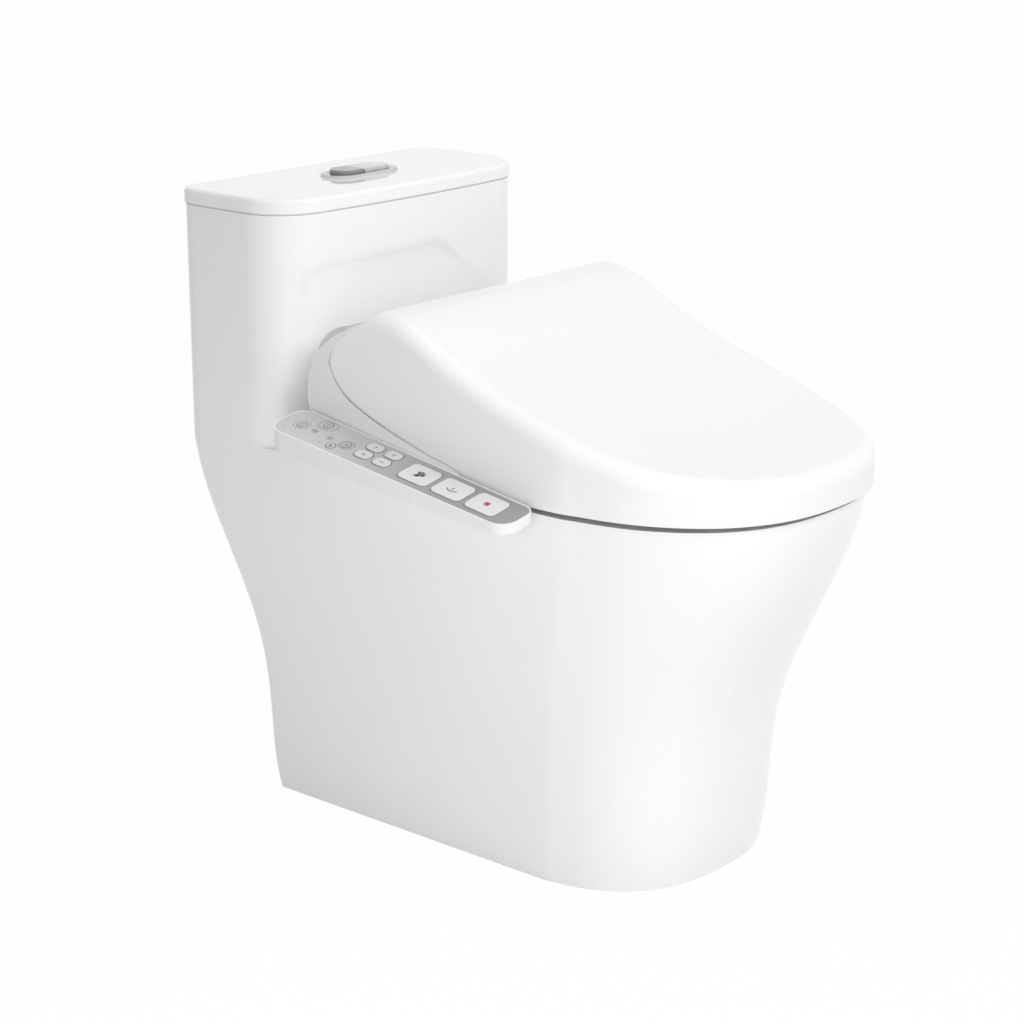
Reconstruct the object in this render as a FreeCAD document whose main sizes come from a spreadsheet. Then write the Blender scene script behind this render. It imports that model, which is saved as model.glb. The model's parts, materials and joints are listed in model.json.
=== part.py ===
import FreeCAD
import Part
import Sketcher
import math
import os
import re
from FreeCAD import Placement, Rotation, Vector

# A one-piece skirted toilet with a heated wash seat.  Millimetres, +Z up.
# The origin is where the waste outlet's axis meets the floor; the user faces -Y and the wall is at +Y.

SIZES = {
    # tank walls, part of the china body
    "tank_width": 377.0,
    "tank_depth": 164.0,
    "tank_back": 285.0,
    "tank_front_corner": 56.0,
    "tank_rear_corner": 26.0,
    "tank_front_radius": 1760.0,
    "tank_wall": 10.0,
    "tank_floor": 12.0,
    "tank_rim_height": 640.0,
    # tank lid
    "tank_lid_gap": 2.0,
    "tank_lid_thick": 15.0,
    "tank_lid_overhang": 1.5,
    "tank_lid_round": 5.0,
    "tank_lid_lip_depth": 8.0,
    "tank_lid_lip_wall": 6.0,
    "tank_lid_lip_play": 3.0,
    "tank_lid_pad_radius": 4.0,
    # skirt, deck and foot
    "china_wall": 10.0,
    "crease_drop": 4.0,
    "deck_height": 398.0,
    "rim_half_width": 184.0,
    "rim_front": 408.0,
    "rim_nose": 223.0,
    "rim_power": 2.4,
    "foot_half_width_back": 144.6,
    "foot_half_width_front": 142.5,
    "foot_back": 203.0,
    "foot_front": 295.0,
    "foot_nose": 152.0,
    "foot_power": 2.6,
    "foot_rear_corner": 12.0,
    "least_corner_round": 2.0,
    "skirt_lean": 0.48,
    "skirt_bend_start": 0.37,
    "service_window_half_width": 115.0,
    "service_window_drop": 23.0,
    # bowl, trapway and flush channel
    "bowl_wall": 10.0,
    "bowl_edge_round": 6.0,
    "bowl_half_width": 120.0,
    "bowl_half_length": 155.0,
    "bowl_front_margin": 48.0,
    "sump_half_width": 42.0,
    "sump_half_length": 48.0,
    "sump_centre": 172.0,
    "sump_height": 112.0,
    "trap_bore_radius": 26.0,
    "trap_wall": 9.0,
    "trap_bend": 40.0,
    "trap_entry_rise": 30.0,
    "trap_climb_run": 42.0,
    "trap_crest_height": 240.0,
    "trap_crest_bends": 1.75,
    "outlet_seal_width": 20.0,
    "outlet_seal_height": 14.0,
    "channel_half_width": 40.0,
    "channel_height": 40.0,
    "channel_wall": 9.0,
    "channel_overlap": 31.0,
    "channel_from_back": 31.0,
    # flush buttons
    "button_half_span": 22.0,
    "button_radius": 16.0,
    "button_height": 12.0,
    "button_stand": 4.0,
    "button_split": 8.0,
    "button_play": 0.35,
    "bezel_half_span": 27.5,
    "bezel_radius": 22.5,
    "bezel_height": 3.0,
    "bezel_dish_depth": 1.5,
    "bezel_dish_rim": 3.0,
    "collar_wall": 2.2,
    "collar_depth": 26.0,
    "collar_hole_play": 1.5,
    "button_edge": 1.5,
    "clamp_thick": 7.0,
    "clamp_width": 6.0,
    "rod_radius": 3.0,
    "rod_idle_travel": 7.0,
    "half_rod_offset": 15.0,
    "full_rod_offset": 15.0,
    # flush valve
    "valve_throat_radius": 24.0,
    "valve_throat_wall": 4.0,
    "valve_throat_depth": 36.0,
    "valve_hole_play": 2.0,
    "valve_flange_radius": 42.0,
    "valve_flange_thick": 6.0,
    "gasket_thick": 3.0,
    "valve_nut_radius": 38.0,
    "valve_nut_thick": 10.0,
    "tower_radius": 34.0,
    "tower_wall": 2.5,
    "tower_headroom": 65.0,
    "tower_cap": 3.0,
    "tower_window_height": 40.0,
    "tower_window_width": 30.0,
    "tower_window_sill": 6.0,
    "overflow_radius": 14.0,
    "overflow_wall": 2.0,
    "overflow_drop": 35.0,
    "plunger_radius": 28.0,
    "plunger_thick": 3.5,
    "seal_inner_radius": 20.0,
    "seal_thick": 2.2,
    # fill valve
    "fill_valve_offset": 95.0,
    "shank_radius": 10.5,
    "shank_depth": 45.0,
    "shank_bore": 6.0,
    "shank_free": 19.0,
    "shank_groove": 1.0,
    "shank_hole_play": 1.0,
    "fill_flange_radius": 17.0,
    "fill_flange_thick": 4.0,
    "fill_nut_flats": 34.0,
    "fill_nut_thick": 12.0,
    "riser_radius": 12.0,
    "float_stop_radius": 16.0,
    "float_stop_thick": 7.0,
    "float_stop_rise": 5.0,
    "float_radius": 30.0,
    "float_height": 60.0,
    "fill_head_radius": 20.0,
    "fill_head_height": 30.0,
    "hose_radius": 4.0,
    "hose_bore": 2.5,
    "hose_bend": 12.0,
    "hose_landing_side": 12.0,
    "hose_landing_back": 23.0,
    # gaps that repeat through the object
    "seat_gap": 0.3,
    "pin_play": 0.05,
    "slide_play": 0.3,
    # mounting plate and its screws
    "plate_half_width": 100.0,
    "plate_front": 20.0,
    "plate_rear": 60.0,
    "plate_thick": 5.5,
    "plate_wing_height": 3.0,
    "plate_wing_width": 6.0,
    "screw_spacing": 155.0,
    "screw_line": 20.0,
    "screw_radius": 4.0,
    "screw_head_radius": 8.0,
    "screw_head_thick": 2.5,
    "screw_length": 36.0,
    "screw_hole_play": 0.3,
    "deck_hole_radius": 7.0,
    "wing_nut_radius": 13.0,
    "wing_nut_thick": 12.0,
    # wash unit: base tray and cover
    "unit_inset": 6.0,
    "unit_gap": 24.0,
    "unit_front": 55.0,
    "core_play": 4.0,
    "shoulder_front": 50.0,
    "base_height": 27.0,
    "base_wall": 3.0,
    "base_floor": 3.0,
    "floor_over_plate": 0.5,
    "unit_corner": 10.0,
    "cover_wall": 2.5,
    "cover_apex_back": 2.0,
    "cover_apex_rise": 156.0,
    "cover_back_rise": 132.0,
    "cover_back_round": 52.0,
    "cover_apex_round": 18.0,
    "cover_front_rise": 138.0,
    "cover_front_round": 12.0,
    "rail_width": 5.5,
    "rail_lip_thick": 2.0,
    "rail_lip_play": 1.0,
    # hinge line of seat and lid
    "hinge_back": 27.0,
    "hinge_rise": 90.0,
    "pin_radius": 6.0,
    "pin_end_play": 0.4,
    "pin_reach": 17.0,
    "damper_radius": 11.0,
    "damper_length": 50.0,
    "damper_post_reach": 39.0,
    "damper_post_width": 30.0,
    # seat
    "seat_inset": 5.0,
    "seat_front_inset": 3.0,
    "seat_back": 60.0,
    "seat_back_corner": 22.0,
    "seat_stand": 6.0,
    "seat_thick": 32.0,
    "seat_lower_thick": 8.0,
    "seat_outer_round": 15.0,
    "seat_inner_round": 10.0,
    "seat_hole_half_width": 104.0,
    "seat_hole_half_length": 128.0,
    "seat_hole_margin": 52.0,
    "seat_shell_wall": 7.0,
    "foil_thick": 0.5,
    "foil_inset": 3.0,
    "seat_notch_half_width": 40.0,
    "seat_notch_height": 16.0,
    "seat_notch_front": 105.0,
    "seat_under_round": 2.0,
    "seat_bumper_radius": 9.0,
    "seat_bumper_rear_side": 140.0,
    "seat_bumper_rear_front": 150.0,
    "seat_bumper_nose_side": 95.0,
    "seat_bumper_nose_inset": 60.0,
    "seat_arm_width": 16.0,
    "seat_arm_inset": 3.0,
    "seat_arm_hub": 17.0,
    "seat_arm_toe": 14.0,
    "seat_arm_toe_front": 85.0,
    "seat_arm_toe_sink": 2.0,
    # lid
    "lid_overhang": 3.0,
    "lid_front_overhang": 8.0,
    "lid_nose_overhang": 8.6,
    "lid_power": 2.4,
    "lid_wall": 4.0,
    "lid_edge_round": 18.0,
    "lid_hub_radius": 14.0,
    "lid_top_a_y": 160.0,
    "lid_top_a_rise": 164.0,
    "lid_top_b_y": 70.0,
    "lid_top_b_rise": 164.4,
    "lid_top_c_y": 4.0,
    "lid_top_c_rise": 164.0,
    "lid_top_d_y": -23.0,
    "lid_top_d_rise": 160.5,
    "lid_top_e_y": -60.0,
    "lid_top_e_rise": 144.5,
    "lid_top_f_y": -117.0,
    "lid_top_f_rise": 116.0,
    "lid_top_g_y": -203.0,
    "lid_top_g_rise": 85.5,
    "lid_top_h_y": -294.0,
    "lid_top_h_rise": 60.5,
    "lid_top_i_inset": 11.0,
    "lid_top_i_rise": 45.0,
    "lid_top_j_overrun": 34.0,
    "lid_top_j_rise": 39.5,
    "cheek_a_y": -172.0,
    "cheek_a_rise": 6.0,
    "cheek_b_y": -108.0,
    "cheek_b_rise": 20.5,
    "cheek_c_y": -29.0,
    "cheek_c_rise": 44.0,
    "cheek_d_y": 22.0,
    "cheek_d_rise": 62.5,
    "cheek_e_y": 52.0,
    "cheek_e_rise": 80.0,
    "cheek_f_y": 67.0,
    "cheek_f_rise": 103.0,
    "cheek_g_y": 60.0,
    "cheek_g_rise": 122.0,
    "cheek_h_y": 34.0,
    "cheek_h_rise": 143.0,
    "cheek_i_y": 16.0,
    "cheek_i_rise": 154.0,
    "cheek_j_y": 4.0,
    "cheek_j_rise": 162.0,
    "lid_bumper_radius": 6.0,
    "lid_bumper_half_span": 60.0,
    "lid_bumper_inset": 44.0,
    # wash nozzles and their cradle
    "nozzle_tilt": 28.0,
    "nozzle_mouth_front": 50.0,
    "nozzle_mouth_rise": 14.0,
    "nozzle_radius": 6.0,
    "nozzle_length": 110.0,
    "nozzle_stand": 3.4,
    "nozzle_offset": 14.0,
    "nozzle_tip_round": 3.0,
    "nozzle_jet_radius": 1.5,
    "nozzle_jet_back": 9.0,
    "nozzle_window": 32.0,
    "nozzle_window_depth": 21.0,
    "cradle_half_width": 28.0,
    "cradle_half_height": 10.0,
    "cradle_length": 110.0,
    "motor_radius": 9.0,
    "motor_length": 18.0,
    "motor_station": 80.0,
    "cradle_post_start": 15.0,
    "cradle_post_depth": 20.0,
    "cradle_post_rise": 48.0,
    "cradle_post_half_width": 20.0,
    # water parts and electronics in the unit
    "heater_start": 52.0,
    "heater_width": 46.0,
    "heater_front": 40.0,
    "heater_from_back": 17.0,
    "heater_height": 48.0,
    "heater_corner": 8.0,
    "board_start": 52.0,
    "board_width": 46.0,
    "board_thick": 1.6,
    "board_standoff": 8.0,
    "board_post_radius": 3.0,
    "board_post_inset": 6.0,
    "board_chip_height": 14.0,
    "inlet_from_back": 26.0,
    "inlet_rise": 14.0,
    "inlet_radius": 10.5,
    "inlet_bore": 6.0,
    "inlet_groove": 1.0,
    "inlet_reach": 20.0,
    "inlet_block_length": 36.0,
    "inlet_block_half_depth": 15.0,
    "inlet_block_height": 23.0,
    "gland_back": 22.0,
    "gland_rise": 16.0,
    "gland_neck": 6.0,
    "gland_head": 9.0,
    "gland_bore": 3.6,
    "gland_reach": 5.0,
    "diverter_radius": 13.0,
    "diverter_half_length": 25.0,
    "diverter_from_back": 22.0,
    "diverter_foot": 3.0,
    # control arm
    "arm_clear": 35.0,
    "arm_middle_front": 57.0,
    "arm_rise": 27.6,
    "arm_pitch": 8.56,
    "arm_roll": 11.25,
    "arm_half_length": 157.0,
    "arm_half_width_rear": 26.5,
    "arm_half_width_front": 22.5,
    "arm_rear_round": 18.0,
    "arm_front_outer_round": 20.0,
    "arm_front_inner_round": 12.0,
    "arm_depth_rear": 31.0,
    "arm_depth_front": 15.0,
    "arm_wall": 2.2,
    "arm_bevel": 6.0,
    "arm_boss_radius": 3.0,
    "arm_boss_reach": 100.0,
    "bridge_front": 25.0,
    "bridge_from_back": 9.0,
    "bridge_low_rise": 16.0,
    "bridge_high_rise": 38.0,
    "fascia_thick": 2.0,
    "fascia_inset": 1.6,
    "arm_board_drop": 9.0,
    "arm_board_inset": 1.4,
    "key_play": 0.35,
    "key_travel": 0.8,
    "key_stem_radius": 2.0,
    "key_depth": 4.0,
    "key_edge": 0.6,
    "large_key_width": 30.0,
    "large_key_length": 37.0,
    "large_key_round": 6.0,
    "large_key_stand": 1.0,
    "large_key_pitch": 43.5,
    "large_key_first": 28.0,
    "small_key_width": 13.5,
    "small_key_length": 19.0,
    "small_key_round": 5.5,
    "small_key_stand": 0.6,
    "small_key_middle": 3.0,
    "small_key_half_gauge": 8.6,
    "small_key_front": 17.5,
    "small_key_pitch": 24.5,
    "round_key_radius": 4.6,
    "round_key_stand": 0.4,
    "round_key_a_out": 1.0,
    "round_key_a_back": 132.0,
    "round_key_b_out": -14.0,
    "round_key_b_back": 109.5,
    "round_key_c_out": 13.3,
    "round_key_c_back": 79.5,
    "round_key_d_out": 3.0,
    "round_key_d_back": 68.0,
    "lens_a_out": 14.3,
    "lens_a_back": 143.0,
    "lens_b_out": 15.3,
    "lens_b_back": 126.0,
    "lens_c_out": 12.2,
    "lens_c_back": 114.0,
    "lens_d_out": 15.3,
    "lens_d_back": 93.0,
    "lens_e_out": 16.3,
    "lens_e_back": 66.0,
    "lens_radius": 1.5,
}

RELATIONS = {
    "tank_front": "tank_back - tank_depth",
    "tank_half": "tank_width / 2",
    "tank_middle": "tank_back - tank_depth / 2",
    "tank_lid_under": "tank_rim_height + tank_lid_gap",
    "tank_lid_top": "tank_lid_under + tank_lid_thick",
    "tank_floor_top": "deck_under + tank_floor",
    "deck_under": "deck_height - china_wall",
    "button_top": "bezel_top + button_stand",
    "button_under": "button_top - button_height",
    "bezel_top": "tank_lid_top + bezel_height",
    "channel_ceiling": "tank_floor_top - tank_floor - gap_over_channel",
    "gap_over_channel": "deck_height - deck_under - channel_wall + 1",
    "valve_seat": "tank_floor_top + gasket_thick + valve_flange_thick",
    "fill_top": "tower_top",
    "floor_low": "deck_height + plate_thick + floor_over_plate",
    "floor_high": "floor_low + base_floor",
    "base_low": "deck_height + seat_gap",
    "seat_top": "seat_underside + seat_thick",
    "seat_split": "seat_underside + seat_lower_thick",
    "seat_pocket_top": "seat_top - seat_shell_wall",
    "collar_radius": "button_radius + button_play + collar_wall",
    "crease_height": "deck_height - crease_drop",
    "service_window_height": "deck_under - service_window_drop",
    "trap_entry_height": "sump_height + trap_entry_rise",
    "trap_crest_knee": "trap_crest_bends * trap_bend",
    "trap_entry_knee": "trap_crest_knee + trap_climb_run",
    "bowl_centre": "rim_front - bowl_front_margin - bowl_half_length",
    "channel_rear": "tank_back - channel_from_back",
    "tower_top": "tank_rim_height - tower_headroom",
    "overflow_top": "tower_top - overflow_drop",
    "float_stop_height": "tank_floor_top + gasket_thick + fill_flange_thick + float_stop_rise",
    "unit_half_width": "rim_half_width - unit_inset",
    "unit_back": "tank_front - unit_gap",
    "core_half_width": "seat_arm_inner - core_play",
    "base_top": "deck_height + base_height",
    "cover_apex_height": "deck_height + cover_apex_rise",
    "cover_back_height": "deck_height + cover_back_rise",
    "cover_front_height": "deck_height + cover_front_rise",
    "hinge_height": "deck_height + hinge_rise",
    "pin_end": "lid_half_width - lid_wall - pin_end_play",
    "pin_start": "core_half_width - pin_reach",
    "damper_post_start": "pin_start - damper_post_reach",
    "seat_half_width": "rim_half_width - seat_inset",
    "seat_front": "rim_front - seat_front_inset",
    "seat_nose": "rim_nose - seat_front_inset",
    "seat_underside": "deck_height + seat_stand",
    "seat_hole_centre": "seat_front - seat_hole_margin - seat_hole_half_length",
    "seat_bumper_nose_front": "seat_front - seat_bumper_nose_inset",
    "seat_arm_inner": "seat_arm_outer - seat_arm_width",
    "seat_arm_outer": "seat_half_width - seat_arm_inset",
    "seat_arm_toe_height": "seat_top - seat_arm_toe_sink",
    "lid_half_width": "rim_half_width + lid_overhang",
    "lid_front": "rim_front + lid_front_overhang",
    "lid_nose": "rim_nose + lid_nose_overhang",
    "lid_underside": "seat_underside",
    "lid_top_i_y": "lid_top_i_inset - lid_front",
    "lid_top_j_y": "-(lid_top_j_overrun + lid_front)",
    "lid_bumper_front": "lid_front - lid_bumper_inset",
    "nozzle_mouth_height": "deck_height + nozzle_mouth_rise",
    "cradle_post_top": "deck_height + cradle_post_rise",
    "heater_depth": "unit_back + heater_front - heater_from_back",
    "inlet_back": "unit_back - inlet_from_back",
    "inlet_height": "deck_height + inlet_rise",
    "gland_height": "deck_height + gland_rise",
    "diverter_back": "unit_back - diverter_from_back",
    "arm_centre": "rim_half_width + arm_clear",
    "arm_height": "deck_height + arm_rise",
    "bridge_back": "unit_back - bridge_from_back",
    "bridge_low": "deck_height + bridge_low_rise",
    "bridge_high": "deck_height + bridge_high_rise",
}

NODE_LIMIT = 60
SAME = 0.01

doc = FreeCAD.newDocument("heated_seat_toilet")
sheet = doc.addObject("Spreadsheet::Sheet", "sizes")
nodes = {}


def fill_sheet():
    """Write every driving size into the sheet, one row each, with its alias."""
    for row, (alias, value) in enumerate(SIZES.items(), start=1):
        sheet.set(f"A{row}", alias)
        sheet.set(f"B{row}", str(value))
        sheet.setAlias(f"B{row}", alias)
    doc.recompute()


def bound(expression):
    """The expression with each size name pointing at its cell in the sheet."""

    def swap(match):
        name = match.group(0)
        if name in RELATIONS:
            return "(" + bound(RELATIONS[name]) + ")"
        if name in SIZES:
            return "sizes." + name
        return name

    return re.sub(r"[a-z_]+", swap, str(expression))


def size(expression):
    """The value in millimetres (or degrees) that an expression of size names has."""
    return float(sheet.evalExpression(bound(expression)))


def tie(item, prop, expression):
    """Bind one property of an object to an expression of size names."""
    item.setExpression(prop, bound(expression))


def keep(label, item):
    """Register an object as the node that bears this label."""
    item.Label = label
    nodes[label] = item
    return item


# ---------------------------------------------------------------- primitives and booleans


def block(name, x, y, z):
    """A box between a low and a high expression along each axis."""
    item = doc.addObject("Part::Box", name)
    for prop, axis, (low, high) in zip(("Length", "Width", "Height"), "xyz", (x, y, z)):
        tie(item, prop, f"({high}) - ({low})")
        tie(item, f"Placement.Base.{axis}", low)
    return item


TURNS = {"z": Rotation(), "x": Rotation(Vector(0, 1, 0), 90), "y": Rotation(Vector(1, 0, 0), -90)}


def rod(name, radius, start, length, along="z"):
    """A cylinder that starts at three expressions and runs along +X, +Y or +Z."""
    item = doc.addObject("Part::Cylinder", name)
    item.Placement = Placement(Vector(), TURNS[along])
    tie(item, "Radius", radius)
    tie(item, "Height", length)
    for axis, place in zip("xyz", start):
        tie(item, f"Placement.Base.{axis}", place)
    return item


def fuse(name, *items):
    """One solid of several."""
    item = doc.addObject("Part::MultiFuse", name)
    item.Shapes = list(items)
    item.Refine = True
    return item


def cut(name, base, *tools):
    """The base with every tool taken out of it."""
    item = doc.addObject("Part::Cut", name)
    item.Base = base
    item.Tool = tools[0] if len(tools) == 1 else fuse(name + "_tools", *tools)
    item.Refine = True
    return item


def grouped(label, *items):
    """Several separate solids as one node."""
    group = doc.addObject("Part::Compound", label)
    group.Links = list(items)
    return keep(label, group)


def mirrored_pair(label, item):
    """The item and its mirror image across the object's middle plane, as one node."""
    twin = doc.addObject("Part::Mirroring", label + "_twin")
    twin.Source = item
    twin.Normal = Vector(1, 0, 0)
    return grouped(label, item, twin)


def shaped(label, shape, placement=None):
    """A free-form solid as an object of the document."""
    item = doc.addObject("Part::Feature", label)
    item.Shape = shape
    if placement is not None:
        item.Placement = placement
    return item


# ---------------------------------------------------------------- sketched bodies


def role_of(body, role):
    """An origin plane or axis of a body."""
    return next(part for part in body.Origin.OriginFeatures if part.Role == role)


def outline(body, name, plane, corners):
    """A closed sketch whose corners are all held to the origin by expressions."""
    sketch = body.newObject("Sketcher::SketchObject", name)
    sketch.AttachmentSupport = [(role_of(body, plane), "")]
    sketch.MapMode = "FlatFace"
    places = [Vector(size(across), size(up), 0) for across, up in corners]
    count = len(corners)
    for index in range(count):
        sketch.addGeometry(Part.LineSegment(places[index], places[(index + 1) % count]), False)
    for index in range(count):
        sketch.addConstraint(Sketcher.Constraint("Coincident", index, 2, (index + 1) % count, 1))
    for index, (across, up) in enumerate(corners):
        for kind, expression, value in (
            ("DistanceX", across, places[index].x),
            ("DistanceY", up, places[index].y),
        ):
            number = sketch.addConstraint(Sketcher.Constraint(kind, -1, 1, index, 1, value))
            tie(sketch, f"Constraints[{number}]", expression)
    return sketch


def round_hole(sketch, across, up, radius):
    """Add a circle to a sketch, its centre and radius held by expressions."""
    centre = Vector(size(across), size(up), 0)
    index = sketch.addGeometry(Part.Circle(centre, Vector(0, 0, 1), size(radius)), False)
    for kind, expression, value in (("DistanceX", across, centre.x), ("DistanceY", up, centre.y)):
        number = sketch.addConstraint(Sketcher.Constraint(kind, -1, 1, index, 3, value))
        tie(sketch, f"Constraints[{number}]", expression)
    number = sketch.addConstraint(Sketcher.Constraint("Radius", index, size(radius)))
    tie(sketch, f"Constraints[{number}]", radius)


def move_body(body, at):
    """Place a body at three expressions."""
    for axis, place in zip("xyz", at):
        tie(body, f"Placement.Base.{axis}", place)


def turned(name, profile, at=("0", "0", "0")):
    """A body turned about a vertical axis; the profile is (radius, height) corners."""
    body = doc.addObject("PartDesign::Body", name)
    sketch = outline(body, name + "_profile", "XZ_Plane", profile)
    turn = body.newObject("PartDesign::Revolution", name + "_turn")
    turn.Profile = sketch
    turn.ReferenceAxis = (sketch, ["V_Axis"])
    turn.Angle = 360
    move_body(body, at)
    return body


def padded(name, corners, height, at=("0", "0", "0"), holes=(), corner_round=None):
    """A body raised from a flat outline, with round holes and rounded upright edges."""
    body = doc.addObject("PartDesign::Body", name)
    sketch = outline(body, name + "_outline", "XY_Plane", corners)
    for across, up, radius in holes:
        round_hole(sketch, across, up, radius)
    pad = body.newObject("PartDesign::Pad", name + "_pad")
    pad.Profile = sketch
    tie(pad, "Length", height)
    if corner_round is not None:
        doc.recompute()
        soften = body.newObject("PartDesign::Fillet", name + "_corners")
        soften.Base = (pad, upright_corners(pad.Shape, corners))
        tie(soften, "Radius", corner_round)
    move_body(body, at)
    return body


def upright_corners(shape, corners):
    """Names of the upright edges that stand on the outline's corners."""
    places = [(size(across), size(up)) for across, up in corners]
    names = []
    for index, edge in enumerate(shape.Edges, start=1):
        box = edge.BoundBox
        upright = box.ZLength > SAME and box.XLength < SAME and box.YLength < SAME
        if upright and any(math.hypot(box.XMin - x, box.YMin - y) < SAME for x, y in places):
            names.append(f"Edge{index}")
    return names


# ---------------------------------------------------------------- free-form helpers


def rounded_edges(corners, rounds):
    """Edges of a closed outline of points (x, y, z) with an arc of each radius at each corner."""
    count = len(corners)
    starts, ends, middles = [], [], []
    for index in range(count):
        corner = corners[index]
        before = (corners[index - 1] - corner).normalize()
        after = (corners[(index + 1) % count] - corner).normalize()
        half = before.getAngle(after) / 2
        reach = rounds[index] / math.tan(half)
        starts.append(corner + before * reach)
        ends.append(corner + after * reach)
        inward = (before + after).normalize()
        middles.append(corner + inward * (rounds[index] / math.sin(half) - rounds[index]))
    edges = []
    for index in range(count):
        if rounds[index] > 0:
            edges.append(Part.Arc(starts[index], middles[index], ends[index]).toShape())
        following = starts[(index + 1) % count]
        if ends[index].distanceToPoint(following) > SAME:
            edges.append(Part.LineSegment(ends[index], following).toShape())
    return edges


def prism(edges, direction):
    """A solid swept straight from a flat outline."""
    return Part.Face(Part.Wire(edges)).extrude(direction)


def between(low, high):
    """A vector up from one height to another."""
    return Vector(0, 0, high - low)


def superellipse(half_width, centre, nose, power, height, parts=16):
    """The round front of an outline: |x/a|^n + |y/b|^n = 1, from +X over the front to -X."""
    points = []
    for step in range(parts + 1):
        angle = math.pi * step / parts
        across = math.copysign(abs(math.cos(angle)) ** (2 / power), math.cos(angle))
        ahead = abs(math.sin(angle)) ** (2 / power)
        points.append(Vector(half_width * across, centre - nose * ahead, height))
    points[0] = Vector(half_width, centre, height)
    points[-1] = Vector(-half_width, centre, height)
    curve = Part.BSplineCurve()
    curve.interpolate(
        Points=points, InitialTangent=Vector(0, -1, 0), FinalTangent=Vector(0, 1, 0)
    )
    return curve.toShape()


def plan_edges(half_back, half_front, back, front, nose, power, corner, height):
    """A plan outline: straight back, round rear corners, straight sides, superellipse front."""
    shoulder = -front + nose
    diagonal = corner * (1 - math.sqrt(0.5))
    right_low = Vector(half_back - corner, back, height)
    right_high = Vector(half_back, back - corner, height)
    left_low = Vector(-half_back + corner, back, height)
    left_high = Vector(-half_back, back - corner, height)
    right_mid = Vector(half_back - diagonal, back - diagonal, height)
    left_mid = Vector(-half_back + diagonal, back - diagonal, height)
    return [
        Part.LineSegment(left_low, right_low).toShape(),
        Part.Arc(right_low, right_mid, right_high).toShape(),
        Part.LineSegment(right_high, Vector(half_front, shoulder, height)).toShape(),
        superellipse(half_front, shoulder, nose, power, height),
        Part.LineSegment(Vector(-half_front, shoulder, height), left_high).toShape(),
        Part.Arc(left_high, left_mid, left_low).toShape(),
    ]


def ellipse_wire(half_width, half_length, centre, height):
    """An ellipse in plan, its long axis along Y."""
    centre_point = Vector(0, centre, height)
    if half_length >= half_width:
        curve = Part.Ellipse(
            centre_point + Vector(0, half_length, 0), centre_point + Vector(half_width, 0, 0), centre_point
        )
    else:
        curve = Part.Ellipse(
            centre_point + Vector(half_width, 0, 0), centre_point + Vector(0, half_length, 0), centre_point
        )
    return Part.Wire([curve.toShape()])


def blend(start, end, share):
    """A value part of the way from start to end."""
    return start + (end - start) * share


def pipe(points, radius, bend):
    """A round bar along straight runs that are joined by arcs of one bend radius."""
    solid = None
    here = points[0]
    for index in range(1, len(points)):
        corner = points[index]
        last = index == len(points) - 1
        ahead = (corner - here).normalize()
        if last:
            stop = corner
        else:
            onward = (points[index + 1] - corner).normalize()
            turn = ahead.getAngle(onward)
            stop = corner - ahead * (bend * math.tan(turn / 2))
        run = Part.makeCylinder(radius, here.distanceToPoint(stop), here, ahead)
        solid = run if solid is None else solid.fuse(run)
        if not last:
            axis = ahead.cross(onward).normalize()
            centre = stop + axis.cross(ahead).normalize() * bend
            disc = Part.Face(Part.Wire([Part.Circle(stop, ahead, radius).toShape()]))
            elbow = disc.revolve(centre, axis, math.degrees(turn))
            solid = solid.fuse(elbow)
            here = corner + onward * (bend * math.tan(turn / 2))
    return solid


# ---------------------------------------------------------------- china body


def skirt_share(level):
    """How far the skirt has drawn in at a level: 0 at the crease, 1 at the floor."""
    start = size("skirt_bend_start")
    lean = size("skirt_lean")
    along = min(max((level - start) / (1 - start), 0), 1)
    return 1 - lean * level - (1 - lean) * along * along * (3 - 2 * along)


def skirt_edges(share, height, inset):
    """The skirt's outline where it has drawn in by a share, moved inwards by an inset."""
    corner = blend(size("tank_rear_corner"), size("foot_rear_corner"), share)
    return plan_edges(
        blend(size("tank_half"), size("foot_half_width_back"), share) - inset,
        blend(size("rim_half_width"), size("foot_half_width_front"), share) - inset,
        blend(size("tank_back"), size("foot_back"), share) - inset,
        blend(size("rim_front"), size("foot_front"), share) - inset,
        blend(size("rim_nose"), size("foot_nose"), share) - inset,
        blend(size("rim_power"), size("foot_power"), share),
        max(corner - inset, size("least_corner_round")),
        height,
    )


SKIRT_LEVELS = (0, 0.23, 0.46, 0.61, 0.76, 0.89, 1)


def skirt_solid(inset):
    """The skirt from floor to crease as one smooth loft."""
    crease = size("crease_height")
    wires = [
        Part.Wire(skirt_edges(skirt_share(level), level * crease, inset)) for level in SKIRT_LEVELS
    ]
    return Part.makeLoft(wires, True)


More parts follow.
